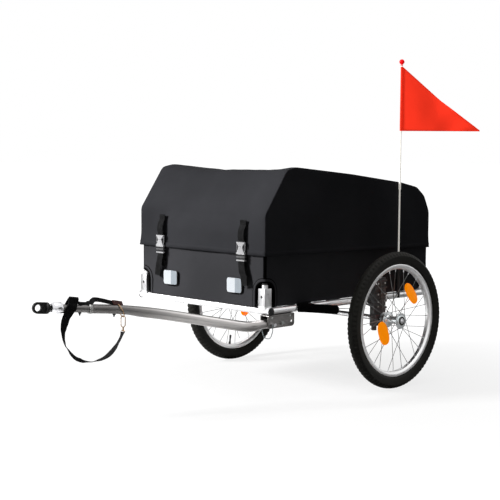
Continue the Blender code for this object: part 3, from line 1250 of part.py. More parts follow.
def make_hitch(bar):
    """A sleeve that turns on the bar's end, with a socket for the ball on the back of the eye."""
    sleeve = add_empty("sleeve_turn", bar, (0, 0, SLEEVE_START))
    length = SLEEVE_LENGTH
    radius = SLEEVE_RADIUS
    bore = SPIGOT_RADIUS + CLEARANCE
    floor = SPIGOT_LENGTH + CLEARANCE
    edge = [(radius - inset, length - drop) for inset, drop in SLEEVE_EDGE]
    profile = [(0, length), *edge, (radius, SLEEVE_FOOT), (radius - CHAMFER, 0), (bore, 0), (bore, floor),
               (0, floor)]
    shell = turned("hitch_sleeve", profile, sleeve, "chrome", steps=20)
    cavity = ball_mesh("cavity", BALL_RADIUS + 2 * CLEARANCE, (0, 0, BALL_ALONG), 16)
    combine(shell, "DIFFERENCE", cavity)
    mouth_ends = ((0, 0, BALL_ALONG + MOUTH_DEPTH), (0, 0, length + CHAMFER))
    mouth = rod_mesh("mouth", MOUTH_RADIUS * 0.45, *mouth_ends, 16, MOUTH_RADIUS * 1.1)
    combine(shell, "DIFFERENCE", mouth)

    eye = add_empty("eye_hinge", sleeve, (0, 0, BALL_ALONG))
    shoulder = SHOULDER_ALONG - BALL_ALONG
    centre = EYE_ALONG - BALL_ALONG
    crown, rim_top, rim_foot = (shoulder + height for height in SHOULDER_HEIGHTS)
    stem = (
        (0, crown), (SHOULDER_RADIUS - SHOULDER_EDGE[0], crown), (SHOULDER_RADIUS, rim_top),
        (SHOULDER_RADIUS, rim_foot), (SHOULDER_RADIUS - SHOULDER_EDGE[1], shoulder),
        (NECK_RADIUS, shoulder), (NECK_RADIUS, NECK_ROOT), (0, NECK_ROOT),
    )
    body = turned("hitch_eye", stem, eye, "black_plastic", steps=16)
    combine(body, "UNION", ball_mesh("ball", BALL_RADIUS, (0, 0, 0), 16))
    arc = [math.radians(15 * step) for step in range(13)]
    outline = [(SHOULDER_RADIUS * math.cos(turn), centre + SHOULDER_RADIUS * math.sin(turn)) for turn in arc]
    middle = (rim_top + rim_foot) / 2
    outline += [(-SHOULDER_RADIUS, middle), (SHOULDER_RADIUS, middle)]
    turn = Euler((math.radians(90), 0, math.radians(90)))
    hole = circle(EYE_HOLE_RADIUS, (0, centre))
    tang = add_object("tang", plate_curve("tang", [outline, hole], TANG_THICKNESS), eye, rotation=turn)
    combine(body, "UNION", as_mesh(tang))


def make_safety_strap(root, bar):
    """Webbing wrapped on the bar, hanging in a loop back to a snap hook on a ring."""
    inner = FRONT_TUBE_RADIUS + CLEARANCE
    outer = inner + WRAP_THICKNESS
    spread = math.acos(outer / WRAP_PEAK)
    first = math.pi / 2 + spread
    arc = [first + (2 * math.pi - 2 * spread) * step / 18 for step in range(19)]
    outline = [(outer * math.cos(turn), outer * math.sin(turn)) for turn in arc] + [(0, WRAP_PEAK)]
    wrap = plate_curve("strap_wrap", [outline, circle(inner)], WRAP_WIDTH)
    place = (0, 0, WRAP_ALONG + WRAP_WIDTH / 2)
    add_object("strap_wrap", wrap, bar, "webbing", place)

    curve = bpy.data.curves.new("safety_strap", "CURVE")
    curve.dimensions = "3D"
    curve.twist_mode = "MINIMUM"
    curve.extrude = WEBBING_WIDTH / 2 - WEBBING_THICKNESS / 2
    curve.bevel_depth = WEBBING_THICKNESS / 2
    curve.bevel_resolution = 0
    curve.use_fill_caps = True
    curve.render_resolution_u = 0
    points = smooth_route([COLLAR_POINT + Vector(point) for point in STRAP_ROUTE], STRAP_SPACING)
    spline = curve.splines.new("POLY")
    spline.points.add(len(points) - 1)
    for index, (point, place) in enumerate(zip(points, spline.points)):
        place.co = (*point, 1)
        place.tilt = strap_tilt(index / (len(points) - 1))
    add_object("safety_strap", curve, root, "webbing")
    length = sum((second - first).length for first, second in zip(points, points[1:]))
    print(f"safety strap length {length:.3f} m")


def strap_tilt(share):
    """Twist of the webbing along its length, eased between the listed angles."""
    place = share * (len(STRAP_TWIST) - 1)
    index = min(int(place), len(STRAP_TWIST) - 2)
    ease = (1 - math.cos(math.pi * (place - index))) / 2
    return math.radians(STRAP_TWIST[index] * (1 - ease) + STRAP_TWIST[index + 1] * ease)


def smooth_route(route, spacing):
    """Points of a smooth curve through the route's own points."""
    route = [Vector(point) for point in route]
    route = [route[0] * 2 - route[1]] + route + [route[-1] * 2 - route[-2]]
    points = []
    for before, start, end, after in zip(route, route[1:], route[2:], route[3:]):
        steps = max(1, round((end - start).length / spacing))
        for step in range(steps):
            share = step / steps
            points.append(0.5 * (
                2 * start + (end - before) * share
                + (2 * before - 5 * start + 4 * end - after) * share ** 2
                + (3 * start - before - 3 * end + after) * share ** 3
            ))
    return points + [route[-2]]


def make_ring_and_hook(root, path):
    """A wire ring round the bar, and the snap hook that hangs from it and holds the strap."""
    ring_y = COLLAR_POINT.y + RING_BEHIND
    held = [(start, end) for start, end in zip(path, path[1:]) if end.y <= ring_y <= start.y]
    start, end = held[0] if held else path[-2:]
    centre = start.lerp(end, (ring_y - start.y) / (end.y - start.y))
    heading = (end - start).normalized()
    level = Vector((-heading.y, heading.x, 0)).normalized()
    upright = heading.cross(level)
    lean = math.radians(RING_LEAN)
    tall = upright * math.cos(lean) + heading * math.sin(lean)
    room = RING_RADIUS * math.cos(lean) - RING_WIRE - DRAWBAR_RADIUS - CLEARANCE
    middle = centre - upright * room
    turns = [2 * math.pi * step / 20 for step in range(20)]
    ring = [middle + RING_RADIUS * (level * math.cos(turn) + tall * math.sin(turn)) for turn in turns]
    add_object("strap_ring", wire_curve("strap_ring", ring, RING_WIRE, 1, closed=True), root, "brass")

    flat = Vector((heading.x, heading.y, 0)).normalized()
    across = Vector((0, 0, 1)).cross(flat) * -1
    basis = Matrix((across, flat, Vector((0, 0, 1)))).transposed()
    hook = add_empty("hook_hang", root, middle - tall * RING_RADIUS, basis.to_euler())
    bow = RING_WIRE + HOOK_WIRE + 2 * CLEARANCE
    half = HOOK_WIDTH / 2
    crown = bow
    gate_top = (0, half, -HOOK_GATE[0])
    gate_foot = (0, half, crown - HOOK_LENGTH + HOOK_GATE[1])
    corners = (
        gate_top, (0, half, crown), (0, -half, crown), (0, -half, crown - HOOK_LENGTH),
        (0, half, crown - HOOK_LENGTH), gate_foot,
    )
    body = wire_curve("snap_hook", rounded_path(corners, (0, half, half, half, half, 0), 3), HOOK_WIRE, 1)
    body = as_mesh(add_object("snap_hook", body, hook, "brass"))
    foot = crown - HOOK_LENGTH
    stem_end = foot - HOOK_STEM_LENGTH
    combine(body, "UNION", rod_mesh("stem", HOOK_STEM_RADIUS, (0, 0, foot), (0, 0, stem_end), 12))
    bar_ends = [(way * WEBBING_WIDTH / 2, 0, stem_end - CLEARANCE) for way in (-1, 1)]
    combine(body, "UNION", rod_mesh("bar", HOOK_BAR_RADIUS, *bar_ends, 8))

    pivot = Vector(gate_foot) + Vector((0, 0, HOOK_WIRE + CLEARANCE))
    hinge = add_empty("gate_hinge", hook, pivot)
    end = gate_top[2] - pivot.z - CLEARANCE
    round_foot = [math.radians(30 * step) for step in range(3)]
    profile = [(0, end), (HOOK_WIRE, end)]
    profile += [(HOOK_WIRE * math.cos(turn), -HOOK_WIRE * math.sin(turn)) for turn in round_foot]
    turned("snap_gate", profile + [(0, -HOOK_WIRE)], hinge, "brass", steps=8)


def build():
    root = add_empty("trailer_datum", None, -ORIGIN)
    for end in ("front", "rear"):
        make_cross_tube(end, root)
        make_floor_tube(end, root)
    for side, sign in SIDES:
        make_side_rail(side, sign, root)
        make_wheel_carrier(side, sign, root)
        make_axle(side, sign, root)
        make_front_reflector(side, sign, root)
        make_rear_reflector(side, sign, root)
        make_box_strap(side, sign, root)
        make_lower_buckle(side, sign, root)
        make_wheel(side, sign, root)
    make_axle_tube(root)
    make_upper_frame(root)
    make_cargo_bag(root)
    make_floor_board(root)

    lid = add_empty("lid_hinge", root, (0, HINGE_Y, HINGE_Z))
    make_lid_cover(lid)
    make_lid_frame(lid)
    for side, sign in SIDES:
        make_lid_strap(side, sign, lid)
        make_upper_buckle(side, sign, lid)

    make_bracket(root)
    level = Vector((-BAR_AXIS.y, BAR_AXIS.x, 0)).normalized()
    basis = Matrix((level, BAR_AXIS.cross(level), BAR_AXIS)).transposed()
    bar = add_empty("bar_datum", root, COLLAR_POINT, basis.to_euler())
    make_drawbar(root, bar)
    make_pins(root)
    make_hitch(bar)
    make_safety_strap(root, bar)
    make_ring_and_hook(root, bar_path())
    make_flag(root)


build()
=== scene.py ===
"""Looks of a bicycle cargo trailer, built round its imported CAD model.

Sizes are in metres from the point on the ground under the middle of the axle: -Y is forward,
+X is the trailer's left and +Z is up. DATUM moves them into the model's own frame.
"""

import json
import math

import bmesh
import bpy
from mathutils import Matrix, Vector, noise

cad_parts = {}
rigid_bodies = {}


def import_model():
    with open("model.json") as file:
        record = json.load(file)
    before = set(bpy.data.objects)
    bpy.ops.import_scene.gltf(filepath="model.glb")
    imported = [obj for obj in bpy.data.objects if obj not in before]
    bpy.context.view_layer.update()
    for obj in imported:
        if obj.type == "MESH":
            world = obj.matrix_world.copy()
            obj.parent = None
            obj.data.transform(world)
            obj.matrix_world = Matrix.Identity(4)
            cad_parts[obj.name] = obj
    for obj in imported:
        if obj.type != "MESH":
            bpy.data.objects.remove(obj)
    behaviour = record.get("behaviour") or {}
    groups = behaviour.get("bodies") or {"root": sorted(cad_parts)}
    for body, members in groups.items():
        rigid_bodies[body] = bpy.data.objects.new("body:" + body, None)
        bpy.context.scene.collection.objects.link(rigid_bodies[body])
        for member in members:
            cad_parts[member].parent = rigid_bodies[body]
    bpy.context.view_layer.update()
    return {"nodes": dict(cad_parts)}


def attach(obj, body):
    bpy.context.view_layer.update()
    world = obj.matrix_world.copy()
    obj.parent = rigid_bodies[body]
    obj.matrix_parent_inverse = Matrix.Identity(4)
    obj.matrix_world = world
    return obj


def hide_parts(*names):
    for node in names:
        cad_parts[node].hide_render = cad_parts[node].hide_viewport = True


for item in list(bpy.data.objects):
    bpy.data.objects.remove(item, do_unlink=True)

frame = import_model()

DATUM = Vector((-0.03938, 0.49411, 0.0))
UP = Vector((0, 0, 1))
ACROSS = Vector((1, 0, 0))
SIDES = (("left", 1), ("right", -1))
UPRIGHT = Matrix.Rotation(math.radians(90), 4, "X")

# Camera of the photograph
CAMERA_PLACE = (3.311, -3.561, 0.904)
CAMERA_HEADING = 45.55
CAMERA_RISE = 5.83
CAMERA_ROLL = 0.31
CAMERA_LENS = 89.81
CAMERA_SHIFT = (-0.006, 0.0382)

# Studio walls that show as dark bands in polished metal, one seen in faces and one along the bar
DARK_WALL_WAY = (0.883, 0.466, 0.050)
DARK_BAND_AXIS = (0.14269, 0.98583, -0.08821)
DARK_FLOOR_PLACE = (0.68, 0.01, 0.0)
ROOM_LEVEL = 0.92
FILL_LEVEL = 0.12
LAMP_DISTANCE = 4.0
LAMP_AIM = Vector((0, 0, 0.45))
LAMPS = (("key", (-0.42, -0.80, 0.46), 0.9, 1.75), ("top", (0.15, 0.1, 1.0), 3.0, 0.25))

# Cargo bag and lid
BAG_HALF_WIDTH = 0.3265
BAG_FRONT_Y = -0.576
BAG_REAR_Y = 0.317
BAG_BOTTOM = 0.3398
BAG_TOP = 0.5605
BAG_CORNER = 0.011
BAG_WALL = 0.0015
TAPE_LEVELS = (0.4270, 0.4600, 0.4900, 0.5250, BAG_TOP - 0.001)
POST_X = 0.3155
POST_Y = {"front": -0.565, "rear": 0.306}
POST_HALF = 0.016
END_WAYS = {"front": -1, "rear": 1}
NOTCH_RADIUS = 0.036
NOTCH_SHOULDER = 0.392
LID_HALF_WIDTH = 0.3303
LID_FRONT_Y = -0.580
LID_REAR_Y = 0.3193
LID_EDGE = 0.0045
LID_WALL = 0.0016
LID_SAG = 0.014
FRONT_DRUM = 0.004
SAG_HALF_WIDTH = 0.304
SLACK_HALF_WIDTH = 0.310
STRAP_DENT = (0.0035, 0.03)
SIDE_BOW = 0.0010
FLARE_HEIGHT = 0.060
LID_FRONT_HEM = 0.517
LID_REAR_HEM = 0.4995
FRONT_FOLD_Z = 0.657
HEM_WIDTH = 0.017
HEM_THICKNESS = 0.0016
HEM_SEAM_RISE = 0.0145
LID_CORNERS = (
    (LID_FRONT_Y, LID_FRONT_HEM), (LID_FRONT_Y, FRONT_FOLD_Z), (-0.474, 0.808), (-0.426, 0.817),
    (-0.135, 0.789), (0.148, 0.754), (0.242, 0.735), (0.289, 0.700), (LID_REAR_Y, 0.639),
    (LID_REAR_Y, LID_REAR_HEM),
)
LID_BENDS = (0, 0.016, 0.030, 0.046, 0, 0, 0.040, 0.040, 0.050, 0)
SIDE_PANEL_LEVELS = 22
BAG_LEVELS = 13
CLOTH_STEP = 0.012

# Flare of the hem at the sides, front and rear: depth, where it starts and how far it grows
HEM_FLARE = ((0.0035, 0.300, 0.025), (0.0050, 0.562, 0.015), (0.0018, 0.302, 0.015))

# Swells of the cloth: size, depth and seed
LID_SWELLS = ((0.16, 0.0045, 2.0), (0.055, 0.0018, 5.0))
SIDE_FOLDS = ((0.085, 0.0045, 3.0), (0.20, 0.0040, 8.0))
BAG_SWELLS = ((0.15, 0.0050, 11.0), (0.06, 0.0014, 4.0))
BAG_HOLLOW = 0.0035

# Straps on the box
SEWN_OFFSET = 0.010
STRAP_X = 0.2147
STITCH_LENGTH = 0.0032
STITCH_PITCH = 0.0050
STITCH_WIDTH = 0.0006
STITCH_INSET = 0.003
STRAP_WIDTH = 0.030
STRAP_THICKNESS = 0.0015
STRAP_SEAM_Z = 0.636
BUCKLE_BACK_Y = -0.5821
BUCKLE_DEPTH = 0.011
BUCKLE_TOP = 0.563
BUCKLE_BOTTOM = 0.494
BUCKLE_WIDTH = 0.041
BUCKLE_LIFT = 0.003
STRAP_BOW = 0.0125
SEWN_GAP = 0.0003
LOOP_HALF = 0.0025
LOOP_RISE = 0.0044
LID_PATCH_Z = (STRAP_SEAM_Z - 0.001, 0.622, 0.610)
LID_STITCH_Z = (0.611, 0.633)
TAIL_END = (0.017, 0.410)
TAIL_FOLD = ((0.80, 0.028), (0.92, 0.012), (1.0, 0.0005))
LOWER_SEAM_Z = 0.446
BOX_STITCH_Z = (LOWER_SEAM_Z + 0.002, LOWER_SEAM_Z + 0.013)
REFLECTOR_X = 0.1705
REAR_REFLECTOR_X = 0.220
REFLECTOR_Z = 0.406
REFLECTOR_BACK = (0.075, 0.052, 0.010)
LENS_SIZE = (0.073, 0.051, 0.0070)
LENS_SEAT = 0.0030

# Buckle parts: name, finish, body, CAD node, depth, setback, rim, heights with half widths. The
# light finish on the head, face and foot and the grey on the bar are painted highlights on black
# plastic
BUCKLE_PARTS = (
    ("head", "buckle_light", "lid", "buckle_upper", 0.0082, 0.0028, 0.0009,
     ((0.5443, 0.52), (0.5475, 0.56), (0.5510, 0.70), (0.5545, 0.90), (0.5580, 1.00),
      (0.5594, 1.00), (0.5600, 0.96))),
    ("collar", "buckle_plastic", "lid", None, 0.0090, 0.0010, 0.0006,
     ((0.5602, 0.74), (0.5628, 0.74))),
    ("face", "buckle_light", "frame", None, 0.0082, 0.0028, 0.0009,
     ((0.5170, 1.00), (0.5200, 1.00), (0.5250, 0.90), (0.5310, 0.68), (0.5380, 0.54),
      (0.5437, 0.50))),
    ("bar", "buckle_grey", "frame", None, 0.0095, 0.0010, 0.0009,
     ((0.5058, 1.00), (0.5072, 1.00), (0.5098, 1.00), (0.5112, 0.98))),
    ("foot", "buckle_light", "frame", None, 0.0090, 0.0012, 0.0009,
     ((0.4942, 0.95), (0.4955, 1.00), (0.4975, 1.00), (0.4985, 0.97))),
    ("core", "buckle_plastic", "frame", "buckle_lower", 0.0072, 0.0, 0.0009,
     ((0.4985, 0.93), (0.5160, 0.95), (0.5260, 0.88), (0.5430, 0.80))),
)
PRONG_SETBACK = 0.0065
PRONG_SECTION = (0.0050, 0.0024)
PRONG_BOW = ((0.88, 0.5560), (0.96, 0.5500), (0.98, 0.5430), (0.95, 0.5350), (0.86, 0.5270))

# Wheels
AXLE_Z = 0.253
WHEEL_X = 0.429
TYRE_RADIUS = 0.253
TYRE_SECTION = 0.0235
RIM_RADIUS = 0.2075
RIM_INNER_RADIUS = 0.190
RIM_HALF_WIDTH = 0.0135
SPOKES_PER_FLANGE = 14
SPOKE_CROSSINGS = 2
SPOKE_RADIUS = 0.001
SPOKE_LAYER = 0.0025
SPOKE_HOLE_RADIUS = 0.0262
OUTER_FLANGE_X = 0.0270
INNER_FLANGE_X = -0.0320
HUB_PROFILE = (
    (0.0103, 0.0320), (0.0184, 0.0320), (0.0196, 0.0316), (0.0200, 0.0304), (0.0200, 0.0285),
    (0.0288, 0.0285), (0.0295, 0.0278), (0.0295, 0.0262), (0.0288, 0.0255), (0.0180, 0.0240),
    (0.0152, 0.0205), (0.0140, 0.0160), (0.0132, 0.0), (0.0140, -0.0210), (0.0152, -0.0255),
    (0.0180, -0.0290), (0.0288, -0.0305), (0.0295, -0.0312), (0.0295, -0.0328),
    (0.0288, -0.0335), (0.0180, -0.0335), (0.0180, -0.0392), (0.0172, -0.0400),
    (0.0065, -0.0400), (0.0065, 0.0280), (0.0103, 0.0288),
)
SEAL_PROFILE = ((0.0108, 0.0321), (0.0110, 0.0330), (0.0160, 0.0330), (0.0166, 0.0321))
RIM_PROFILE = (
    (0.1900, 0.0), (0.1900, 0.0065), (0.1912, 0.0088), (0.1965, 0.0128), (0.1978, 0.0135),
    (0.2063, 0.0135), (0.2075, 0.0130), (0.2075, 0.0118), (0.2020, 0.0118),
)
TREAD_BLOCKS = 88
TREAD_ANGLES = (-68, -56, -46, -38, -30, -24, -16, -9, -3, 3, 9, 16, 24, 30, 38, 46, 56, 68)
SHOULDER_GROOVE = 0.0030
RIB_GROOVE = 0.0011
RIB_NICK = 0.0007
VALVE_TURNS = {"left": 151, "right": -82}
VALVE_PROFILE = (
    (0, -0.038), (0.0036, -0.038), (0.0042, -0.0365), (0.0042, -0.025), (0.0034, -0.0245),
    (0.0034, -0.012), (0.0044, -0.010), (0.0048, -0.001), (0.0052, 0.0),
)
SPOKE_HEAD_PROFILE = ((0, 0.0012), (0.0015, 0.0008), (0.0019, 0), (0, 0))

# Spoke reflectors: distance from the axle, angle round it, heading and depth of the seat
SPOKE_REFLECTORS = (("front", 0.0972, 203, 202, 0.0013), ("rear", 0.118, 53.7, 39, 0.0009))
SPOKE_REFLECTOR_SIZE = (0.043, 0.091, 0.008)

# The bar's own frame, from the collar forward, and the safety strap's route
COLLAR_POINT = Vector((0.06539, -1.12, 0.36021))
BAR_AHEAD = Vector((-0.14269, -0.98583, 0.08821))
BAR_ACROSS = Vector((0.98969, -0.14324, 0.0))
BAR_UP = Vector((0.01263, 0.08730, 0.99610))
FRONT_TUBE_RADIUS = 0.013
REAR_TUBE_RADIUS = 0.0155
BAR_START = Vector((0.325, -0.478, 0.284))
BAR_FIRST_BEND = Vector((0.325, -0.656, 0.284))
BAR_SECOND_BEND = Vector((0.090, -0.950, 0.345))
BAR_BENDS = (0.070, 0.450)
BRACKET_TAPER = (0.105, 0.050)
COLLAR_TAPER = (0.120, 0.070)
BAR_RADIUS = 0.0178
BAR_DROP = 0.0022
BAR_SIDES = 28
WRAP_GAP = 0.00155
WRAP_MEETING = 0.030
WRAP_START = 0.0615
WRAP_SECTION = (0.034, 0.0024)
WRAP_PEAK = [(0.0062, 0.0265), (0.0030, 0.0345), (0, 0.0358), (-0.0030, 0.0345),
             (-0.0062, 0.0265)]
BIGHT_ROUTE = ((0.0660, 0.0200, 0.0020), (0.0690, 0.0160, 0.0100), (0.0740, 0.0090, 0.0160),
               (0.0790, 0.0, 0.0180))
TAIL_ROUTE = (
    (0.046, 0.0172), (0.030, 0.0148), (0.012, 0.0150), (0.006, 0.0186), (-0.002, 0.0205),
    (-0.006, 0.0265), (-0.012, 0.0305), (-0.030, 0.0300), (-0.060, 0.0250), (-0.088, 0.0195),
    (-0.098, 0.0180),
)
TAB_ROUTE = ((-0.084, 0.0222), (-0.096, 0.0216), (-0.108, 0.0200), (-0.120, 0.0190))
NUT_PROFILE = ((0, 0.0042), (0.004756, 0.0042), (0.0058, 0.003444), (0.0058, 0), (0, 0))
WEBBING_WIDTH = 0.025
WEBBING_THICKNESS = 0.0016
STRAP_ROUTE = (
    (0.0710, -1.1990, 0.3640), (0.0680, -1.2140, 0.3444), (0.0655, -1.2240, 0.3104),
    (0.0635, -1.2245, 0.2807), (0.0620, -1.2165, 0.2523), (0.0605, -1.1985, 0.2248),
    (0.0607, -1.1732, 0.2014), (0.0624, -1.1409, 0.1898), (0.0665, -1.1124, 0.1849),
    (0.0720, -1.0880, 0.1880), (0.0785, -1.0620, 0.1980), (0.0835, -1.0395, 0.2175),
    (0.0868, -1.0220, 0.2403), (0.0884, -1.0095, 0.2600), (0.0886, -1.0030, 0.2752),
)
STRAP_TWIST = (
    (0.0, 30), (0.10, 26), (0.15, -10), (0.22, -43), (0.29, -59), (0.33, -77), (0.38, -64),
    (0.42, -62), (0.50, -72), (0.54, -97), (0.62, -112), (0.69, -98), (0.79, -88), (0.84, -94),
    (0.90, -109), (0.96, -110), (1.0, -92),
)

# Frame details and the flaps round the side rails
PLUG_PROFILE = ((0, 0.0035), (0.0095, 0.0035), (0.0137, 0.0016), (0.0137, -0.0004),
                (0.0126, -0.0004))
WASHER_PROFILE = ((0.0165, 0.0), (0.024, 0.0), (0.0245, 0.0006), (0.0245, 0.0028),
                  (0.022, 0.0034), (0.0165, 0.0034))
TUBE_Z = 0.327
TUBE_Y = (-0.564, 0.305)
TUBE_END_X = 0.3448
POST_HOLE_Z = 0.3765
POST_SCREW_Z = 0.386
BRACKET_PLACE = (0.325, 0.0195, 0.3045)
BRACKET_SCREW_Y = (-0.557, -0.468)
CARRIER_X = 0.3728
CARRIER_BOLT_Z = (0.300, 0.318, 0.345, 0.385)
CARRIER_BOLT_Y = (-0.030, 0.008)
CARRIER_RIB_Z = (0.292, 0.307, 0.325, 0.334, 0.353, 0.362, 0.371)
CARRIER_RIB_Y = (-0.018, 0.004)
FLAP_ROUTE = (
    (0.3468, -0.430, 0.3300), (0.3474, -0.395, 0.3265), (0.3474, -0.350, 0.3205),
    (0.3462, -0.300, 0.3135), (0.3450, -0.255, 0.3070), (0.3440, -0.228, 0.3035),
)
FLAP_SECTION = (0.0160, 14, 0.00384)
FLAP_CAP_RADIUS = 0.0158
FLAP_CAP_SHARES = (0.24, 0.9, 1.0)
FLAP_X = 0.3462
FLAP_TIE_ROUTE = ((0.330, -0.222, 0.304), (0.333, -0.160, 0.302), (0.337, -0.090, 0.296),
                  (0.338, -0.050, 0.290))

# Flag
POLE_X = 0.340
POLE_Y = 0.125
POLE_RADIUS = 0.003
BALL_Z = 1.203
BALL_RADIUS = 0.0097
BALL_NECK = 0.0044
BALL_FOOT = 0.004
PENNANT_TOP = 1.185
PENNANT_BOTTOM = 0.947
PENNANT_LENGTH = 0.295
PENNANT_HEADING = 45.5
PENNANT_GRID = (44, 26)
PENNANT_WAIST = 0.47
PENNANT_TIP = 0.004
PENNANT_SWAY = 0.0050
PENNANT_FLUTTER = 0.0016


# Finishes

class Value:
    """A number or colour inside a finish, so that sums of them read as plain sums."""

    def __init__(self, finish, socket):
        self.finish = finish
        self.socket = socket

    def sum(self, operation, *values):
        return self.finish.node("ShaderNodeMath", {"operation": operation}, dict(enumerate(values)))

    def __add__(self, other):
        return self.sum("ADD", self, other)

    def __sub__(self, other):
        return self.sum("SUBTRACT", self, other)

    def __rsub__(self, other):
        return self.sum("SUBTRACT", other, self)

    def __mul__(self, other):
        return self.sum("MULTIPLY", self, other)

    __radd__ = __add__
    __rmul__ = __mul__

    def sine(self):
        return self.sum("SINE", self)

    def above(self, low, high):
        """0 below low, 1 above high and a smooth rise between."""
        settings = {"interpolation_type": "SMOOTHSTEP"}
        return self.finish.node("ShaderNodeMapRange", settings, {"Value": self, 1: low, 2: high})


class Finish:
    """A material, whose nodes are added one at a time."""

    def __init__(self, name, colour, roughness, metallic=0.0, specular=0.5, tree=None):
        if tree:
            self.tree = tree
            return
        self.material = bpy.data.materials.new(name)
        self.material.use_nodes = True
        self.tree = self.material.node_tree
        self.shader = self.tree.nodes["Principled BSDF"]
        self.colour = colour
        self.set("Base Color", colour)
        self.set("Roughness", roughness)
        self.set("Metallic", metallic)
        self.set("Specular IOR Level", specular)

    def node(self, kind, settings=None, sockets=None, output=0):
        made = self.tree.nodes.new(kind)
        for name, value in (settings or {}).items():
            setattr(made, name, value)
        for name, value in (sockets or {}).items():
            self.feed(made.inputs[name], value)
        return Value(self, made.outputs[output])

    def feed(self, socket, value):
        if isinstance(value, Value):
            self.tree.links.new(value.socket, socket)
        elif isinstance(value, tuple) and socket.type == "RGBA":
            socket.default_value = (*value, 1)
        else:
            socket.default_value = value

    def set(self, name, value):
        self.feed(self.shader.inputs[name], value)

    def tint(self, share, darker, lighter):
        self.set("Base Color", self.shades(share, darker, lighter))

    def painted_glow(self, share, darker, lighter, strength):
        """Painted light: light that the piece gives off by itself, though it is no lamp."""
        self.set("Emission Color", self.shades(share, darker, lighter))
        self.set("Emission Strength", strength)

    def place(self):
        return self.node("ShaderNodeTexCoord", output="Object")

    def along(self, axis):
        return self.node("ShaderNodeSeparateXYZ", sockets={0: self.place()}, output=axis)

    def vectors(self, operation, first, second, output=1):
        """Vector maths on two places: a number, or a place where the output is 0."""
        settings = {"operation": operation}
        return self.node("ShaderNodeVectorMath", settings, {0: first, 1: second}, output)

    def ripples(self, pitch):
        """Waves along X, along Y and along Z, with a pitch between their crests."""
        return [(self.along(axis) * (2 * math.pi / pitch)).sine() for axis in "XYZ"]

    def noise(self, scale, detail=3.0, place=None):
        sockets = {"Vector": place or self.place(), "Scale": scale, "Detail": detail}
        return self.node("ShaderNodeTexNoise", sockets=sockets)

    def ray(self, kind):
        """1 where light is looked up for a ray of this kind, and 0 for any other."""
        return self.node("ShaderNodeLightPath", output=f"Is {kind} Ray")

    def mix(self, share, first, second):
        settings = {"data_type": "RGBA"}
        return self.node("ShaderNodeMix", settings, {0: share, 6: first, 7: second}, output=2)

    def shades(self, share, darker, lighter):
        """The finish's colour, from darker to lighter times its own value."""
        low = tuple(channel * darker for channel in self.colour)
        high = tuple(min(1.0, channel * lighter) for channel in self.colour)
        return self.mix(share, low, high)

    def bump(self, height, distance, strength=1.0):
        sockets = {"Height": height, "Distance": distance, "Strength": strength}
        self.set("Normal", self.node("ShaderNodeBump", sockets=sockets))


def woven_cloth(name, colour):
    """Coated plain-weave cloth: threads across each other, soft creases and a little dust."""
    finish = Finish(name, colour, 0.85, specular=0.02)
    x, y, z = finish.ripples(0.0021)
    creases = finish.noise(14, 3)
    dust = finish.noise(3.5, 4)
    finish.tint(dust.above(0.3, 0.7), 0.86, 1.14)
    finish.set("Roughness", 0.72 + creases * 0.16)
    finish.bump((x * y + y * z + z * x) * 0.10 + creases, 0.0012, 0.5)
    return finish


def flat_webbing(name, colour, specular=0.03):
    """Tight herringbone webbing with slanting ribs three millimetres apart."""
    finish = Finish(name, colour, 0.75, specular=specular)
    turn = 2 * math.pi / 0.0030
    ribs = ((finish.along("Z") + finish.along("Y") * 0.6) * turn).sine()
    cords = (finish.along("X") * turn * 1.3).sine()
    fuzz = finish.noise(60, 2)
    finish.tint(fuzz.above(0.3, 0.75), 0.8, 1.35)
    finish.bump(ribs * 0.5 + cords * 0.5, 0.0005, 0.5)
    return finish


def satin_metal(name, colour, roughness):
    """Satin metal: a fine cloud, finger smudges and small scratches."""
    finish = Finish(name, colour, roughness, 1.0)
    cloud = finish.noise(120, 2)
    smudge = finish.noise(16, 4)
    scratch = finish.noise(240, 2).above(0.66, 0.74)
    finish.tint(cloud, 0.90, 1.08)
    finish.set("Roughness", roughness - 0.07 + smudge * 0.16 + scratch * 0.06)
    finish.bump(cloud * 0.6 + scratch * 0.4, 0.00015, 0.35)
    return finish


def welded_alloy(name, colour):
    """The frame's tubes, with the square posts a duller grey than the round tubes."""
    finish = Finish(name, colour, 0.36, 1.0)
    cloud = finish.noise(60, 2)
    smudge = finish.noise(16, 4)
    post = finish.along("Z").above(0.3425, 0.3455)
    shade = cloud * 0.30 + (1.0 - post) * 0.70
    finish.tint(shade, 0.55, 1.08)
    finish.set("Roughness", 0.29 + smudge * 0.14 + post * 0.04)
    finish.bump(cloud, 0.00012, 0.3)
    return finish


def bar_alloy(name, colour):
    """The drawbar: drawn aluminium with long streaks, and a painted reflection that is darker at
    the front and paler towards the box.
    """
    finish = Finish(name, colour, 0.24, 1.0)
    streaks = finish.vectors("MULTIPLY", finish.place(), (1.0, 0.2, 1.0), 0)
    drawn = finish.noise(60, 2, streaks)
    # Painted reflection: the colour fades from dark at the front to pale towards the box, standing
    # in for what the bar mirrors.
    pale = finish.along("Y").above(-0.50, -0.25)
    finish.tint(drawn * 0.15 + pale * 0.85, 0.34, 1.34)
    finish.set("Roughness", 0.29 + drawn * 0.08)
    finish.bump(drawn, 0.00012, 0.3)
    return finish


def plated(name, colour, roughness, grime=0.25):
    """Polished or plated metal, duller where it has been handled."""
    finish = Finish(name, colour, roughness, 1.0)
    cloud = finish.noise(45, 4).above(0.35, 0.8)
    finish.tint(cloud, 1.0, 1.0 - grime)
    finish.set("Roughness", roughness + cloud * 0.12)
    return finish


def moulded(name, colour, roughness, grain=900, specular=0.5, depth=0.00012, painted_glow=0.0):
    """Moulded plastic with a spark-eroded grain, rubbed paler; some give off painted light, though
    they are no lamp.
    """
    finish = Finish(name, colour, roughness, specular=specular)
    pores = finish.noise(grain, 2)
    rubbed = finish.noise(26, 4).above(0.45, 0.8)
    finish.tint(rubbed, 0.92, 1.2)
    finish.set("Roughness", roughness + rubbed * 0.08)
    if painted_glow:
        finish.painted_glow(rubbed, 0.95, 1.05, painted_glow)
    finish.bump(pores, depth, 0.5)
    return finish


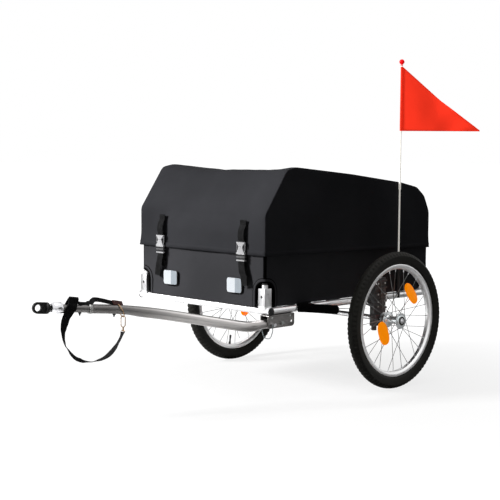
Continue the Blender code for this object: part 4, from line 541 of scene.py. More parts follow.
def tyre_rubber(name, colour):
    finish = Finish(name, colour, 0.6, specular=0.16)
    dust = finish.noise(9, 4)
    pores = finish.noise(500, 2)
    finish.tint(dust.above(0.35, 0.75), 0.85, 1.5)
    finish.set("Roughness", 0.52 + dust * 0.2)
    finish.bump(pores, 0.0002, 0.4)
    return finish


def prism_lens(name, colour, painted_glow):
    """A moulded lens patterned with small cube corners, giving off painted light that stands in for
    the light they throw straight back.
    """
    finish = Finish(name, colour, 0.34, specular=0.12)
    x, y, z = finish.ripples(0.0042)
    cubes = x * z + y * z + x * y
    facets = cubes.above(-0.8, 0.9)
    finish.tint(facets, 0.78, 1.05)
    finish.painted_glow(facets, 0.6, 1.1, painted_glow)
    finish.bump(cubes, 0.0006, 0.35)
    return finish


def thin_cloth(name, colour):
    """Thin woven cloth giving off painted light, which stands in for the light that shines through
    it.
    """
    finish = Finish(name, colour, 0.7, specular=0.06)
    x, y, z = finish.ripples(0.0016)
    cloud = finish.noise(9, 3)
    finish.tint(cloud, 0.94, 1.05)
    finish.painted_glow(cloud, 0.95, 1.05, 0.45)
    finish.bump((x + y) * z * 0.3 + cloud, 0.0004, 0.4)
    return finish


# Every finish by its maker, with the colour first and then the maker's other values in turn
FINISHES = {name: maker(name, *values) for maker, batch in (
    (woven_cloth, {
        "lid_cloth": [(0.0262, 0.0265, 0.0295)],
        # The box's cloth is the lid's black cloth painted lighter, standing in for the light on the
        # box's front.
        "box_cloth": [(0.0385, 0.0385, 0.0420)],
        "flap_cloth": [(0.0022, 0.0022, 0.0024)],
    }),
    (flat_webbing, {
        "binding": [(0.0016, 0.0016, 0.0017), 0.0],
        "webbing": [(0.0100, 0.0100, 0.0104)],
    }),
    (satin_metal, {
        "rim_alloy": [(0.96, 0.96, 0.96), 0.30],
        "bracket_steel": [(0.25, 0.24, 0.235), 0.34],
    }),
    (welded_alloy, {"frame_alloy": [(0.88, 0.88, 0.89)]}),
    (bar_alloy, {"drawbar_alloy": [(0.36, 0.347, 0.340)]}),
    (plated, {
        "hub_alloy": [(0.93, 0.97, 0.98), 0.26],
        "spoke_steel": [(0.20, 0.20, 0.20), 0.36, 0.1],
        "bolt_steel": [(0.42, 0.44, 0.43), 0.28],
        "chrome": [(0.80, 0.80, 0.82), 0.10, 0.08],
        "bail_wire": [(0.20, 0.23, 0.24), 0.35, 0.1],
        "brass": [(0.40, 0.26, 0.15), 0.26, 0.2],
    }),
    (moulded, {
        "thread": [(0.020, 0.020, 0.021), 0.6],
        "seal_rubber": [(0.055, 0.055, 0.040), 0.5, 900, 0.2],
        "hoop_steel": [(0.035, 0.035, 0.036), 0.45],
        "black_plastic": [(0.014, 0.014, 0.015), 0.42, 900, 0.3],
        "carrier_plastic": [(0.105, 0.105, 0.108), 0.45, 900, 0.3],
        "buckle_plastic": [(0.012, 0.012, 0.013), 0.36, 1500, 0.3, 0.00006],
        # The light grey is a painted highlight on black buckles, as is the grey on a buckle's bar;
        # on the carrier ribs the grey is their own colour.
        "buckle_light": [(0.40, 0.40, 0.41), 0.24, 1500, 0.5, 0.00006],
        "buckle_grey": [(0.085, 0.085, 0.088), 0.30, 1500, 0.4, 0.00006],
        "eye_iron": [(0.010, 0.010, 0.010), 0.5, 500, 0.15],
        "plug_plastic": [(0.050, 0.050, 0.052), 0.5, 900, 0.2],
        "white_plastic": [(0.74, 0.74, 0.72), 0.38, 700],
        # The pole and the ball give off painted light, their last value, though they are no lamp.
        "pole_resin": [(0.90, 0.87, 0.80), 0.40, 400, 0.5, 0.00012, 0.42],
        "red_plastic": [(0.92, 0.006, 0.010), 0.35, 900, 0.10, 0.00012, 0.45],
        "leather": [(0.045, 0.008, 0.006), 0.5, 300, 0.2, 0.0004],
        "board": [(0.022, 0.022, 0.022), 0.6, 200],
    }),
    (tyre_rubber, {"tyre_rubber": [(0.0130, 0.0125, 0.0105)]}),
    (prism_lens, {
        # Each lens's last value is the painted light it gives off.
        "clear_lens": [(0.58, 0.61, 0.64), 0.12],
        # The second finish of each lens is a darker copy of it: painted shade for the lens's
        # narrower flat.
        "clear_lens_edge": [(0.34, 0.38, 0.42), 0.08],
        "red_lens": [(0.60, 0.010, 0.008), 0.10],
        # Painted shade: a darker copy of the red lens for its narrower flat.
        "red_lens_edge": [(0.40, 0.007, 0.006), 0.06],
        "orange_lens": [(0.95, 0.245, 0.0), 0.95],
    }),
    (thin_cloth, {"pennant_cloth": [(0.93, 0.036, 0.014)]}),
) for name, values in batch.items()}


# Shapes

def linked(name, data):
    """A new object in the scene."""
    item = bpy.data.objects.new(name, data)
    bpy.context.scene.collection.objects.link(item)
    return item


def solid(name, shape):
    """A new object made from a shape, which is used up."""
    mesh = bpy.data.meshes.new(name)
    shape.to_mesh(mesh)
    shape.free()
    return linked(name, mesh)


def dressed(name, shape, finish, body, stands_for=(), smooth=40):
    """Make a piece from a shape, let it ride on a body and hide the CAD nodes it stands for."""
    bmesh.ops.translate(shape, vec=DATUM, verts=shape.verts)
    piece = solid(name, shape)
    piece.data.shade_smooth()
    piece.data.set_sharp_from_angle(angle=math.radians(smooth))
    piece.data.materials.append(FINISHES[finish].material)
    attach(piece, body)
    if stands_for:
        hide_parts(*stands_for)
    return piece


def refined(node, finish):
    """Give a CAD node its finish and smooth its facets; a wire grows a little stouter."""
    item = frame["nodes"][node]
    mesh = item.data
    mesh.materials.clear()
    mesh.materials.append(FINISHES[finish].material)
    if "custom_normal" in mesh.attributes:
        mesh.attributes.remove(mesh.attributes["custom_normal"])
    mesh.shade_smooth()
    weld = item.modifiers.new("joined facets", "WELD")
    weld.merge_threshold = 0.00001
    if node in STOUTER:
        stout = item.modifiers.new("stouter wire", "DISPLACE")
        stout.strength = STOUTER[node]
        stout.mid_level = 0.0
    if node in BROKEN_EDGES:
        bevel = item.modifiers.new("broken edges", "BEVEL")
        bevel.width = BROKEN_EDGES[node]
        bevel.segments = 2
        bevel.limit_method = "ANGLE"
        bevel.angle_limit = math.radians(50)
    split = item.modifiers.new("sharp edges", "EDGE_SPLIT")
    split.split_angle = math.radians(40)
    split.use_edge_sharp = False


def joined(*shapes):
    """All the shapes in one."""
    whole = bmesh.new()
    for shape in shapes:
        mesh = bpy.data.meshes.new("joining")
        shape.to_mesh(mesh)
        shape.free()
        whole.from_mesh(mesh)
        bpy.data.meshes.remove(mesh)
    return whole


def skinned(piece, thickness, offset=-1):
    """Give a sheet its thickness, on the inside or to both sides."""
    wall = piece.modifiers.new("wall", "SOLIDIFY")
    wall.thickness = thickness
    wall.offset = offset


def held(value):
    """The value, held between 0 and 1."""
    return min(1.0, max(0.0, value))


def bridged(shape, rings, around=True, closed=False, flip=False):
    """Faces from each ring of points to the next, and from the last to the first if closed."""
    for ring, following in zip(rings, rings[1:] + (rings[:1] if closed else [])):
        for index in range(len(ring) if around else len(ring) - 1):
            after = (index + 1) % len(ring)
            quad = (ring[index], ring[after], following[after], following[index])
            shape.faces.new(quad[::-1] if flip else quad)


def frame_of(axis):
    """Two directions square to an axis and to each other."""
    side = axis.cross(UP if abs(axis.z) < 0.9 else ACROSS).normalized()
    return side, axis.cross(side)


def lathe(profile, centre, axis=ACROSS, steps=48, ring=False):
    """Turn a profile of (radius, height) about an axis through the centre."""
    centre, axis = Vector(centre), Vector(axis).normalized()
    side, lift = frame_of(axis)
    shape = bmesh.new()
    rows = []
    for step in range(steps):
        turn = 2 * math.pi * step / steps
        out = side * math.cos(turn) + lift * math.sin(turn)
        rows.append([shape.verts.new(centre + out * radius + axis * height)
                     for radius, height in profile])
    bridged(shape, rows, ring, True)
    bmesh.ops.remove_doubles(shape, verts=shape.verts, dist=0.000001)
    bmesh.ops.recalc_face_normals(shape, faces=shape.faces)
    return shape


def sweep(path, outline, sides, closed=False):
    """Carry an outline of (along side, along lift) down a path."""
    shape = bmesh.new()
    rings = []
    count = len(path)
    for index, point in enumerate(path):
        before = path[index - 1] if closed or index else point
        after = path[(index + 1) % count] if closed or index < count - 1 else point
        ahead = (after - before).normalized()
        side = Vector(sides[index] if isinstance(sides, list) else sides)
        side = (side - ahead * side.dot(ahead)).normalized()
        lift = ahead.cross(side)
        rings.append([shape.verts.new(point + side * a + lift * b) for a, b in outline])
    bridged(shape, rings, True, closed)
    if not closed:
        shape.faces.new(rings[0][::-1])
        shape.faces.new(rings[-1])
    bmesh.ops.recalc_face_normals(shape, faces=shape.faces)
    return shape


def round_outline(wide, sides, deep=None):
    """A circle, or an oval where its half depth is given too."""
    turns = [2 * math.pi * step / sides for step in range(sides)]
    return [(wide * math.cos(turn), (deep or wide) * math.sin(turn)) for turn in turns]


def band_outline(width, thickness):
    """A flat section with rounded selvedges."""
    half, deep = width / 2, thickness / 2
    edge = deep * 0.9
    return [(-half + edge, -deep), (half - edge, -deep), (half, 0), (half - edge, deep),
            (-half + edge, deep), (-half, 0)]


def rounded_path(corners, radii, steps=6, closed=False):
    """Points of a path through the corners, each rounded by an arc of its radius."""
    corners = [Vector(corner) for corner in corners]
    count = len(corners)
    path = []
    for index, (corner, radius) in enumerate(zip(corners, radii)):
        if not radius or (not closed and index in (0, count - 1)):
            path.append(corner)
            continue
        back = (corners[index - 1] - corner).normalized()
        ahead = (corners[(index + 1) % count] - corner).normalized()
        half = back.angle(ahead) / 2
        centre = corner + (back + ahead).normalized() * radius / math.sin(half)
        start = corner + back * radius / math.tan(half) - centre
        end = corner + ahead * radius / math.tan(half) - centre
        axis = start.cross(end).normalized()
        for step in range(steps + 1):
            path.append(centre + Matrix.Rotation(start.angle(end) * step / steps, 3, axis) @ start)
    return path


def lengths_along(path):
    """How far each point of a path lies from its start, measured along it."""
    lengths = [0.0]
    for start, end in zip(path, path[1:]):
        lengths.append(lengths[-1] + (end - start).length)
    return lengths


def evenly(path, spacing, closed=False):
    """The path again with its points at an even spacing."""
    path = list(path) + ([path[0]] if closed else [])
    lengths = lengths_along(path)
    count = max(2, round(lengths[-1] / spacing))
    points = []
    index = 0
    for step in range(count if closed else count + 1):
        distance = lengths[-1] * step / count
        while index < len(path) - 2 and lengths[index + 1] < distance:
            index += 1
        share = (distance - lengths[index]) / max(1e-9, lengths[index + 1] - lengths[index])
        points.append(path[index].lerp(path[index + 1], share))
    return points


def smooth_route(route, spacing):
    """Points of a smooth curve through the route's own points."""
    route = [Vector(point) for point in route]
    route = [route[0] * 2 - route[1]] + route + [route[-1] * 2 - route[-2]]
    points = []
    for before, start, end, after in zip(route, route[1:], route[2:], route[3:]):
        steps = max(1, round((end - start).length / spacing))
        for step in range(steps):
            share = step / steps
            points.append(0.5 * (
                2 * start + (end - before) * share
                + (2 * before - 5 * start + 4 * end - after) * share ** 2
                + (3 * start - before - 3 * end + after) * share ** 3
            ))
    return points + [route[-2]]


def rod(radius, start, end, sides=16, dome=0.0):
    """A round bar from start to end, its far end domed by a given height."""
    start, end = Vector(start), Vector(end)
    run = end - start
    length = run.length
    profile = [(0, 0), (radius, 0), (radius, length)]
    if dome:
        profile += [(radius * 0.8, length + dome * 0.7), (radius * 0.4, length + dome * 0.95)]
    profile.append((0, length + dome))
    return lathe(profile, start, run, sides)


def plate(outline, depth, place, edge=0.0012, crown=0.0):
    """A plate from an outline in XY, rounded at its front rim, with a flat or crowned front."""
    shape = bmesh.new()
    middle = sum((Vector((*point, 0)) for point in outline), Vector()) / len(outline)
    spokes = [Vector((*point, 0)) - middle for point in outline]
    reach = max(spoke.length for spoke in spokes)
    levels = [(1.0, 0.0), (1.0, depth - edge), (1 - edge * 0.3 / reach, depth - edge * 0.35),
              (1 - edge / reach, depth)]
    if crown:
        levels += [(0.66, depth + crown * 0.6), (0.33, depth + crown * 0.93)]
    rings = [[shape.verts.new(middle + spoke * size + UP * height) for spoke in spokes]
             for size, height in levels]
    bridged(shape, rings)
    shape.faces.new(rings[0][::-1])
    if crown:
        top = shape.verts.new(middle + UP * (depth + crown))
        for pair in zip(rings[-1], rings[-1][1:] + rings[-1][:1]):
            shape.faces.new((*pair, top))
    else:
        shape.faces.new(rings[-1])
    bmesh.ops.transform(shape, matrix=place, verts=shape.verts)
    bmesh.ops.recalc_face_normals(shape, faces=shape.faces)
    return shape


def rounded_box_outline(width, height, radius):
    corners = [(x * width / 2, y * height / 2, 0) for x, y in ((-1, -1), (1, -1), (1, 1), (-1, 1))]
    return [(point.x, point.y) for point in rounded_path(corners, [radius] * 4, 5, True)]


def oval_outline(width, height, fullness):
    """An oval that is rounder at a fullness of 2 and squarer above it."""
    return [(math.copysign(abs(x) ** (2 / fullness), x) * width / 2,
             math.copysign(abs(y) ** (2 / fullness), y) * height / 2)
            for x, y in round_outline(1.0, 44)]


def stitches(path, lifts):
    """A row of short threads lying on cloth."""
    shape = bmesh.new()
    points = evenly(path, STITCH_PITCH)
    total = len(points) - 1
    for index, (start, following) in enumerate(zip(points, points[1:])):
        ahead = (following - start).normalized()
        nearest = round(index / total * (len(lifts) - 1))
        lift = Vector(lifts[nearest] if isinstance(lifts, list) else lifts)
        side = ahead.cross(lift).normalized() * STITCH_WIDTH / 2
        rise = lift.normalized() * STITCH_WIDTH / 2
        first, last = (shape.verts.new(start + ahead * run) for run in (0, STITCH_LENGTH))
        middle = start + ahead * STITCH_LENGTH / 2
        belt = [shape.verts.new(middle + way) for way in (side, rise, -side, -rise)]
        for near, far in zip(belt, belt[1:] + belt[:1]):
            shape.faces.new((first, far, near))
            shape.faces.new((last, near, far))
    return shape


def wave(point, size, depth, seed):
    """A smooth random swell of cloth."""
    return noise.noise(point / size + Vector((seed, seed * 0.7, 0))) * depth


# Lid and cargo bag

def lid_profile():
    """The lid's outline in YZ, from its front hem over the top to its rear hem."""
    corners = [(0, y, z) for y, z in LID_CORNERS]
    return evenly(rounded_path(corners, LID_BENDS, 8), CLOTH_STEP)


def slack_profile(profile):
    """The profile half way between the hoops, where the cloth bridges its folds."""
    eased = []
    for index, point in enumerate(profile):
        fold = max(0.0, 1 - abs(point.z - FRONT_FOLD_Z) / 0.14) if point.y < 0 else 0.0
        reach = round((0.030 + 0.090 * fold) / CLOTH_STEP)
        reach = min(reach, index, len(profile) - 1 - index)
        near = profile[index - reach:index + reach + 1]
        eased.append(sum(near, Vector()) / len(near))
    return eased


def flared(place):
    """A point of the lid's cloth, moved out where it stands proud of the box near the hem."""
    run = (place.y - LID_FRONT_Y) / (LID_REAR_Y - LID_FRONT_Y)
    hem = LID_FRONT_HEM + (LID_REAR_HEM - LID_FRONT_HEM) * run
    share = held(1 - (place.z - hem) / FLARE_HEIGHT) ** 2
    beside, before, behind = (
        depth * held((reach - start) / growth) for (depth, start, growth), reach
        in zip(HEM_FLARE, (abs(place.x), -place.y, place.y)))
    return place + Vector((math.copysign(beside, place.x), behind - before, 0)) * share


def lid_outward(profile):
    """The cloth's outward direction at each point of the lid's outline."""
    ends = [profile[0], *profile, profile[-1]]
    ways = [after - before for before, after in zip(ends, ends[2:])]
    return [Vector((0, -way.z, way.y)).normalized() for way in ways]


def top_sag(place):
    """How far the cloth hangs between the side hoops, on the top and on the front slope."""
    across = max(0.0, 1 - (place.x / SAG_HALF_WIDTH) ** 2)
    drum = FRONT_DRUM * across * math.sin(held((place.y - LID_FRONT_Y) / 0.15) * math.pi)
    return LID_SAG * across * held((place.z - 0.66) / 0.06) + drum


def lid_cover_shape():
    """The lid's cloth as one sheet: the middle by columns across it, then both side panels."""
    profile = lid_profile()
    slack = slack_profile(profile)
    normals = lid_outward(profile)
    flat = LID_HALF_WIDTH - LID_EDGE
    columns = round(2 * flat / CLOTH_STEP)
    across = [(flat - 2 * flat * step / columns, 0.0) for step in range(columns + 1)]
    arc = [math.radians(18 * step) for step in range(5, 0, -1)]
    left = [(flat + LID_EDGE * math.sin(turn), LID_EDGE * (1 - math.cos(turn))) for turn in arc]
    right = [(-x, drop) for x, drop in reversed(left)]
    shape = bmesh.new()
    rows = []
    for x, drop in left + across + right:
        ease = max(0.0, 1 - (x / SLACK_HALF_WIDTH) ** 4)
        inside = max(0.0, 1 - (abs(x) / flat) ** 6)
        depth, width = STRAP_DENT
        dent = depth * math.exp(-((abs(x - SEWN_OFFSET) - STRAP_X) / width) ** 2)
        row = []
        for tight, loose, out in zip(profile, slack, normals):
            base = tight.lerp(loose, ease) + ACROSS * x
            swell = sum(wave(base, *values) for values in LID_SWELLS)
            if base.y < -0.5:
                swell -= dent
            row.append(shape.verts.new(base + out * (swell * inside - drop) - UP * top_sag(base)))
        rows.append(row)
    bridged(shape, rows, False)
    lid_side_panel(shape, rows[0], 1)
    lid_side_panel(shape, rows[-1], -1)
    bmesh.ops.remove_doubles(shape, verts=shape.verts, dist=0.00005)
    bmesh.ops.recalc_face_normals(shape, faces=shape.faces)
    for vert in shape.verts:
        vert.co = flared(vert.co)
    return shape


def lid_side_panel(shape, row, sign):
    """The side cloth, filled in from the seam row down to the hem."""
    front, rear = row[0].co.copy(), row[-1].co.copy()
    upright, broad = ((size, depth, seed * sign) for size, depth, seed in SIDE_FOLDS)
    rings = [row]
    for level in range(1, SIDE_PANEL_LEVELS + 1):
        share = level / SIDE_PANEL_LEVELS
        hem = held((1 - share) * 6)
        ring = []
        for index, vert in enumerate(row):
            place = vert.co.lerp(front.lerp(rear, index / (len(row) - 1)), share)
            inset = (place - vert.co).length
            bow = math.sin(math.pi * held(inset / 0.16)) * SIDE_BOW
            fold = wave(Vector((0, place.y, place.z * 0.45)), *upright) + wave(place, *broad)
            place.x += sign * held(inset / 0.05) * (fold * (0.35 + 0.65 * hem) - bow)
            ring.append(shape.verts.new(place))
        rings.append(ring)
    bridged(shape, rings, False, flip=sign < 0)


def lid_hem_path(rise, out):
    """A loop round the lid's lower edge, so far above it and so far outside the cloth."""
    x, front, rear = LID_HALF_WIDTH + out, LID_FRONT_Y - out, LID_REAR_Y + out
    front_z, rear_z = LID_FRONT_HEM + rise, LID_REAR_HEM + rise
    corners = ((x, front, front_z), (x, rear, rear_z), (-x, rear, rear_z), (-x, front, front_z))
    path = rounded_path(corners, [LID_EDGE] * 4, 6, True)
    return [flared(point) for point in evenly(path, 0.006, True)]


def make_lid():
    """The lid's cloth with its hem, the welts of its two side seams and their stitching."""
    def sew(name, shape, finish="lid_cloth", stands_for=(), smooth=60):
        return dressed(name, shape, finish, "lid", stands_for, smooth)

    skinned(sew("lid_cloth", lid_cover_shape(), stands_for=["lid_cover"]), LID_WALL)
    hem = lid_hem_path(HEM_WIDTH / 2, 0.0004)
    sew("lid_hem", sweep(hem, band_outline(HEM_WIDTH, HEM_THICKNESS), UP, True))
    lifts = [Vector((point.x, point.y + 0.13, 0)) for point in lid_hem_path(0.0, 0.0)]
    seam = stitches(lid_hem_path(HEM_SEAM_RISE, 0.0013), lifts)
    profile = lid_profile()
    normals = lid_outward(profile)
    for side, sign in SIDES:
        edge = ACROSS * sign * (LID_HALF_WIDTH - LID_EDGE * 0.30)
        welt = [flared(point + edge - out * LID_EDGE * 0.27)
                for point, out in zip(profile, normals)]
        sew(f"lid_welt_{side}", sweep(welt, round_outline(0.0011, 8), normals), smooth=40)
        inner = ACROSS * sign * (LID_HALF_WIDTH - LID_EDGE - 0.004)
        line = [flared(point + inner - UP * top_sag(point + inner) + out * 0.0008)
                for point, out in zip(profile, normals)]
        seam = joined(seam, stitches(line, normals))
    sew("lid_stitching", seam, "thread", smooth=40)


def bag_perimeter():
    """The box's outline on the ground, with rounded corners."""
    x, front, rear = BAG_HALF_WIDTH, BAG_FRONT_Y, BAG_REAR_Y
    corners = ((x, front, 0), (x, rear, 0), (-x, rear, 0), (-x, front, 0))
    return rounded_path(corners, [BAG_CORNER] * 4, 5, True)


def bag_shape():
    """The box's walls and floor cloth, as one sheet with soft swells."""
    loop = []
    corners = bag_perimeter()
    for start, end in zip(corners, corners[1:] + corners[:1]):
        steps = max(1, round((end - start).length / 0.016))
        loop += [start.lerp(end, step / steps) for step in range(steps)]
    shape = bmesh.new()
    rings = []
    for level in range(BAG_LEVELS + 1):
        share = level / BAG_LEVELS
        rise = UP * (BAG_BOTTOM + (BAG_TOP - BAG_BOTTOM) * share)
        slack = max(0.0, math.sin(math.pi * min(1.0, share * 1.15 + 0.02)))
        ring = []
        for before, point, after in zip(loop[-1:] + loop, loop, loop[1:] + loop[:1]):
            out = Vector((after.y - before.y, before.x - after.x, 0)).normalized()
            beyond = min(abs(point.y - BAG_FRONT_Y), abs(point.y - BAG_REAR_Y))
            near = held((abs(abs(point.x) - BAG_HALF_WIDTH) + beyond) / 0.10)
            place = point + rise
            swell = sum(wave(place, *values) for values in BAG_SWELLS) - BAG_HOLLOW
            if point.y > POST_Y["rear"]:
                swell = min(swell, 0.0)
            ring.append(shape.verts.new(place + out * swell * near * slack))
        rings.append(ring)
    bridged(shape, rings)
    shape.faces.new(rings[0][::-1])
    bmesh.ops.recalc_face_normals(shape, faces=shape.faces)
    return shape


def post_foot(sign, end):
    """The point on the ground under a post."""
    return Vector((sign * POST_X, POST_Y[end], 0))


def notch_shape(foot):
    """The round-topped hollow that is cut out of a corner of the box round its post."""
    turns = [math.radians(80 - 10 * step) for step in range(9)]
    profile = [(0, NOTCH_SHOULDER + NOTCH_RADIUS)]
    profile += [(NOTCH_RADIUS * math.cos(turn), NOTCH_SHOULDER + NOTCH_RADIUS * math.sin(turn))
                for turn in turns]
    profile += [(NOTCH_RADIUS, BAG_BOTTOM - 0.02), (0, BAG_BOTTOM - 0.02)]
    return lathe(profile, foot, UP, 40)


def notch_edge(sign, end, radius):
    """A path on the cloth round a corner's notch, with the cloth's outward direction along it."""
    ahead, post = END_WAYS[end], post_foot(sign, end)
    wall = BAG_CORNER
    reach = math.sqrt(radius ** 2 - wall ** 2)
    first_out, last_out = Vector((0, ahead, 0)), Vector((sign, 0, 0))
    legs = [BAG_BOTTOM + (NOTCH_SHOULDER - BAG_BOTTOM) * step / 4 for step in range(4)]
    runs = [reach * (1 - step / 9) for step in range(10)]
    arc = [Vector((sign * math.sin(turn), ahead * math.cos(turn), 0))
           for turn in (math.radians(15 * step) for step in range(1, 6))]
    over = [(Vector((-sign * run, ahead * wall, 0)), first_out) for run in runs]
    over += [(out * wall, out) for out in arc]
    over += [(Vector((sign * wall, -ahead * run, 0)), last_out) for run in reversed(runs)]
    path = [post + Vector((-sign * reach, ahead * wall, z)) for z in legs]
    for offset, _ in over:
        rise = math.sqrt(max(0.0, radius ** 2 - offset.length ** 2))
        path.append(post + offset + UP * (NOTCH_SHOULDER + rise))
    path += [post + Vector((sign * wall, -ahead * reach, z)) for z in reversed(legs)]
    sides = [first_out] * 4 + [out for _, out in over] + [last_out] * 4
    return path, sides


def corner_tape(sign, end):
    """Black tape folded over an upright corner of the box."""
    ahead, middle = END_WAYS[end], post_foot(sign, end)
    turns = [math.radians(12 + 12 * step) for step in range(6)]
    section = [Vector((sign * math.sin(turn), ahead * math.cos(turn), 0)) * (BAG_CORNER + 0.0007)
               for turn in turns]
    shape = bmesh.new()
    rows = [[shape.verts.new(middle + point + UP * z) for point in section]
            for z in TAPE_LEVELS]
    bridged(shape, rows, False)
    return shape


def settle(piece):
    """Keep what a piece's modifiers make as its own mesh."""
    view = bpy.context.evaluated_depsgraph_get()
    made = bpy.data.meshes.new_from_object(piece.evaluated_get(view))
    piece.modifiers.clear()
    piece.data = made


def make_bag():
    """The open box of cloth, notched round its posts, with bound and taped edges."""
    # The box and its notch tape take the lid's cloth painted lighter, for the light on the box's
    # front.
    bag = dressed("bag_cloth", bag_shape(), "box_cloth", "frame", ["cargo_bag"], 60)
    skinned(bag, BAG_WALL)
    bindings, tapes, cutters = [], [], []
    for sign, end in ((sign, end) for _, sign in SIDES for end in POST_Y):
        shape = notch_shape(post_foot(sign, end))
        bmesh.ops.translate(shape, vec=DATUM, verts=shape.verts)
        cutters.append(solid("notch", shape))
        notch = bag.modifiers.new("notch", "BOOLEAN")
        notch.operation = "DIFFERENCE"
        notch.object = cutters[-1]
        for out, outline, batch in ((0.0, round_outline(0.00162, 10, 0.0036), bindings),
                                    (0.0125, round_outline(0.0013, 8), bindings),
                                    (0.0070, round_outline(0.0013, 10, 0.0050), tapes)):
            path, sides = notch_edge(sign, end, NOTCH_RADIUS + out)
            batch.append(sweep(path, outline, sides))
        bindings.append(corner_tape(sign, end))
    settle(bag)
    for cutter in cutters:
        bpy.data.objects.remove(cutter, do_unlink=True)
    dressed("bag_binding", joined(*bindings), "binding", "frame", smooth=60)
    dressed("notch_tape", joined(*tapes), "box_cloth", "frame", smooth=60)


# Straps, buckles and reflectors on the box

def make_box_straps():
    """Each strap's two halves, sewn on the lid and on the box, with their boxes of stitches."""
    half = STRAP_THICKNESS / 2
    front, back = LID_FRONT_Y - SEWN_GAP - half, BAG_FRONT_Y - SEWN_GAP - half
    middle = BUCKLE_BACK_Y - BUCKLE_DEPTH / 2
    behind, ahead = middle + LOOP_HALF + half, middle - LOOP_HALF - half
    lifted, bowed = middle - BUCKLE_LIFT, front - STRAP_BOW
    loop_z, end_z = BUCKLE_BOTTOM + LOOP_RISE + half, TAIL_END[1]
    upper = ((0, front, STRAP_SEAM_Z), (0, front, STRAP_SEAM_Z - 0.014),
             (0, front - 0.0080, 0.606), (0, bowed, 0.590), (0, bowed, BUCKLE_TOP + 0.012),
             (0, lifted, BUCKLE_TOP + 0.002), (0, lifted, BUCKLE_TOP - 0.004))
    patch = [(0, front - STRAP_THICKNESS, z) for z in LID_PATCH_Z]
    lower = ((0, back, LOWER_SEAM_Z), (0, back, LOWER_SEAM_Z + 0.015),
             (0, behind, BUCKLE_BOTTOM - 0.008), (0, behind, loop_z - 0.001),
             (0, (behind + ahead) / 2, loop_z + 0.0006), (0, ahead, loop_z - 0.001),
             (0, ahead, BUCKLE_BOTTOM - 0.004), (0.35, ahead - 0.002, BUCKLE_BOTTOM - 0.035),
             (0.85, ahead + 0.001, end_z + 0.025), (1, ahead + 0.002, end_z))
    fold = [(share, ahead + 0.001 * share - 0.0017, end_z + rise)
            for share, rise in TAIL_FOLD]
    outline = band_outline(STRAP_WIDTH, STRAP_THICKNESS)
    run = STRAP_WIDTH / 2 - STITCH_INSET
    for side, sign in SIDES:
        x, lean = SEWN_OFFSET + sign * STRAP_X, sign * TAIL_END[0]
        for label, body, strap, layer, spacing, face, (low, high) in (
                ("lid", "lid", upper, patch, 0.006, front - STRAP_THICKNESS, LID_STITCH_Z),
                ("box", "frame", lower, fold, 0.005, back, BOX_STITCH_Z)):
            strap, layer = ([Vector((x + lean * share, y, z)) for share, y, z in route]
                            for route in (strap, layer))
            strap = sweep(smooth_route(strap, spacing), outline, ACROSS)
            strap = joined(strap, sweep(layer, outline, ACROSS))
            dressed(f"{label}_webbing_{side}", strap, "webbing", body,
                    [f"{label}_strap_{side}"])
            box = [Vector((x + way * run, face - half - 0.0002, z)) for way, z in
                   ((-1, low), (1, low), (1, high), (-1, high), (-1, low), (1, high))]
            rows = [stitches([first, last], (0, -1, 0)) for first, last in zip(box, box[1:])]
            dressed(f"{body}_webbing_stitch_{side}", joined(*rows), "thread", body)


def make_buckles():
    """Side-release buckles: a flared head with two prongs, and a socket with a slotted foot."""
    half = BUCKLE_WIDTH / 2
    for side, sign in SIDES:
        middle = Vector((SEWN_OFFSET + sign * STRAP_X, BUCKLE_BACK_Y - BUCKLE_LIFT, 0))
        for part, finish, body, node, depth, setback, edge, halves in BUCKLE_PARTS:
            outline = [(width * half, z) for z, width in halves]
            outline += [(-x, z) for x, z in reversed(outline)]
            place = Matrix.Translation(middle - Vector((0, setback, 0))) @ UPRIGHT
            shape = plate(outline, depth, place, edge)
            for way in (-1, 1) if part == "head" else ():
                bow = [middle + Vector((way * half * share, -PRONG_SETBACK, z))
                       for share, z in PRONG_BOW]
                bow = sweep(smooth_route(bow, 0.003), band_outline(*PRONG_SECTION), (0, 1, 0))
                shape = joined(shape, bow)
            # The light and grey parts carry painted highlights.
            dressed(f"buckle_{part}_{side}", shape, finish, body,
                    [f"{node}_{side}"] if node else (), 30)


def faceted_lens(width, height, depth, place):
    """A reflector's lens with a broad flat on the left and a narrower one that falls away."""
    ridge, brow = width * 0.12, width * -0.30
    lens = plate(rounded_box_outline(width, height, 0.008), depth, Matrix.Identity(4))
    for line in (ridge, brow):
        parts = lens.verts[:] + lens.edges[:] + lens.faces[:]
        bmesh.ops.bisect_plane(lens, geom=parts, plane_co=(line, 0, 0), plane_no=ACROSS)
    for face in lens.faces:
        # Painted shade: faces right of the ridge take the second material, a darker copy of the
        # lens's finish.
        face.material_index = int(face.calc_center_median().x > ridge)
    for spot in (vert.co for vert in lens.verts):
        if spot.z > depth * 0.4:
            spot.z -= max(0.0, spot.x - ridge) * 0.20 + max(0.0, brow - spot.x) * 0.16
            spot.x *= 1 - 0.06 * (abs(spot.y) / height * 2) ** 2
    bmesh.ops.transform(lens, matrix=place, verts=lens.verts)
    return lens


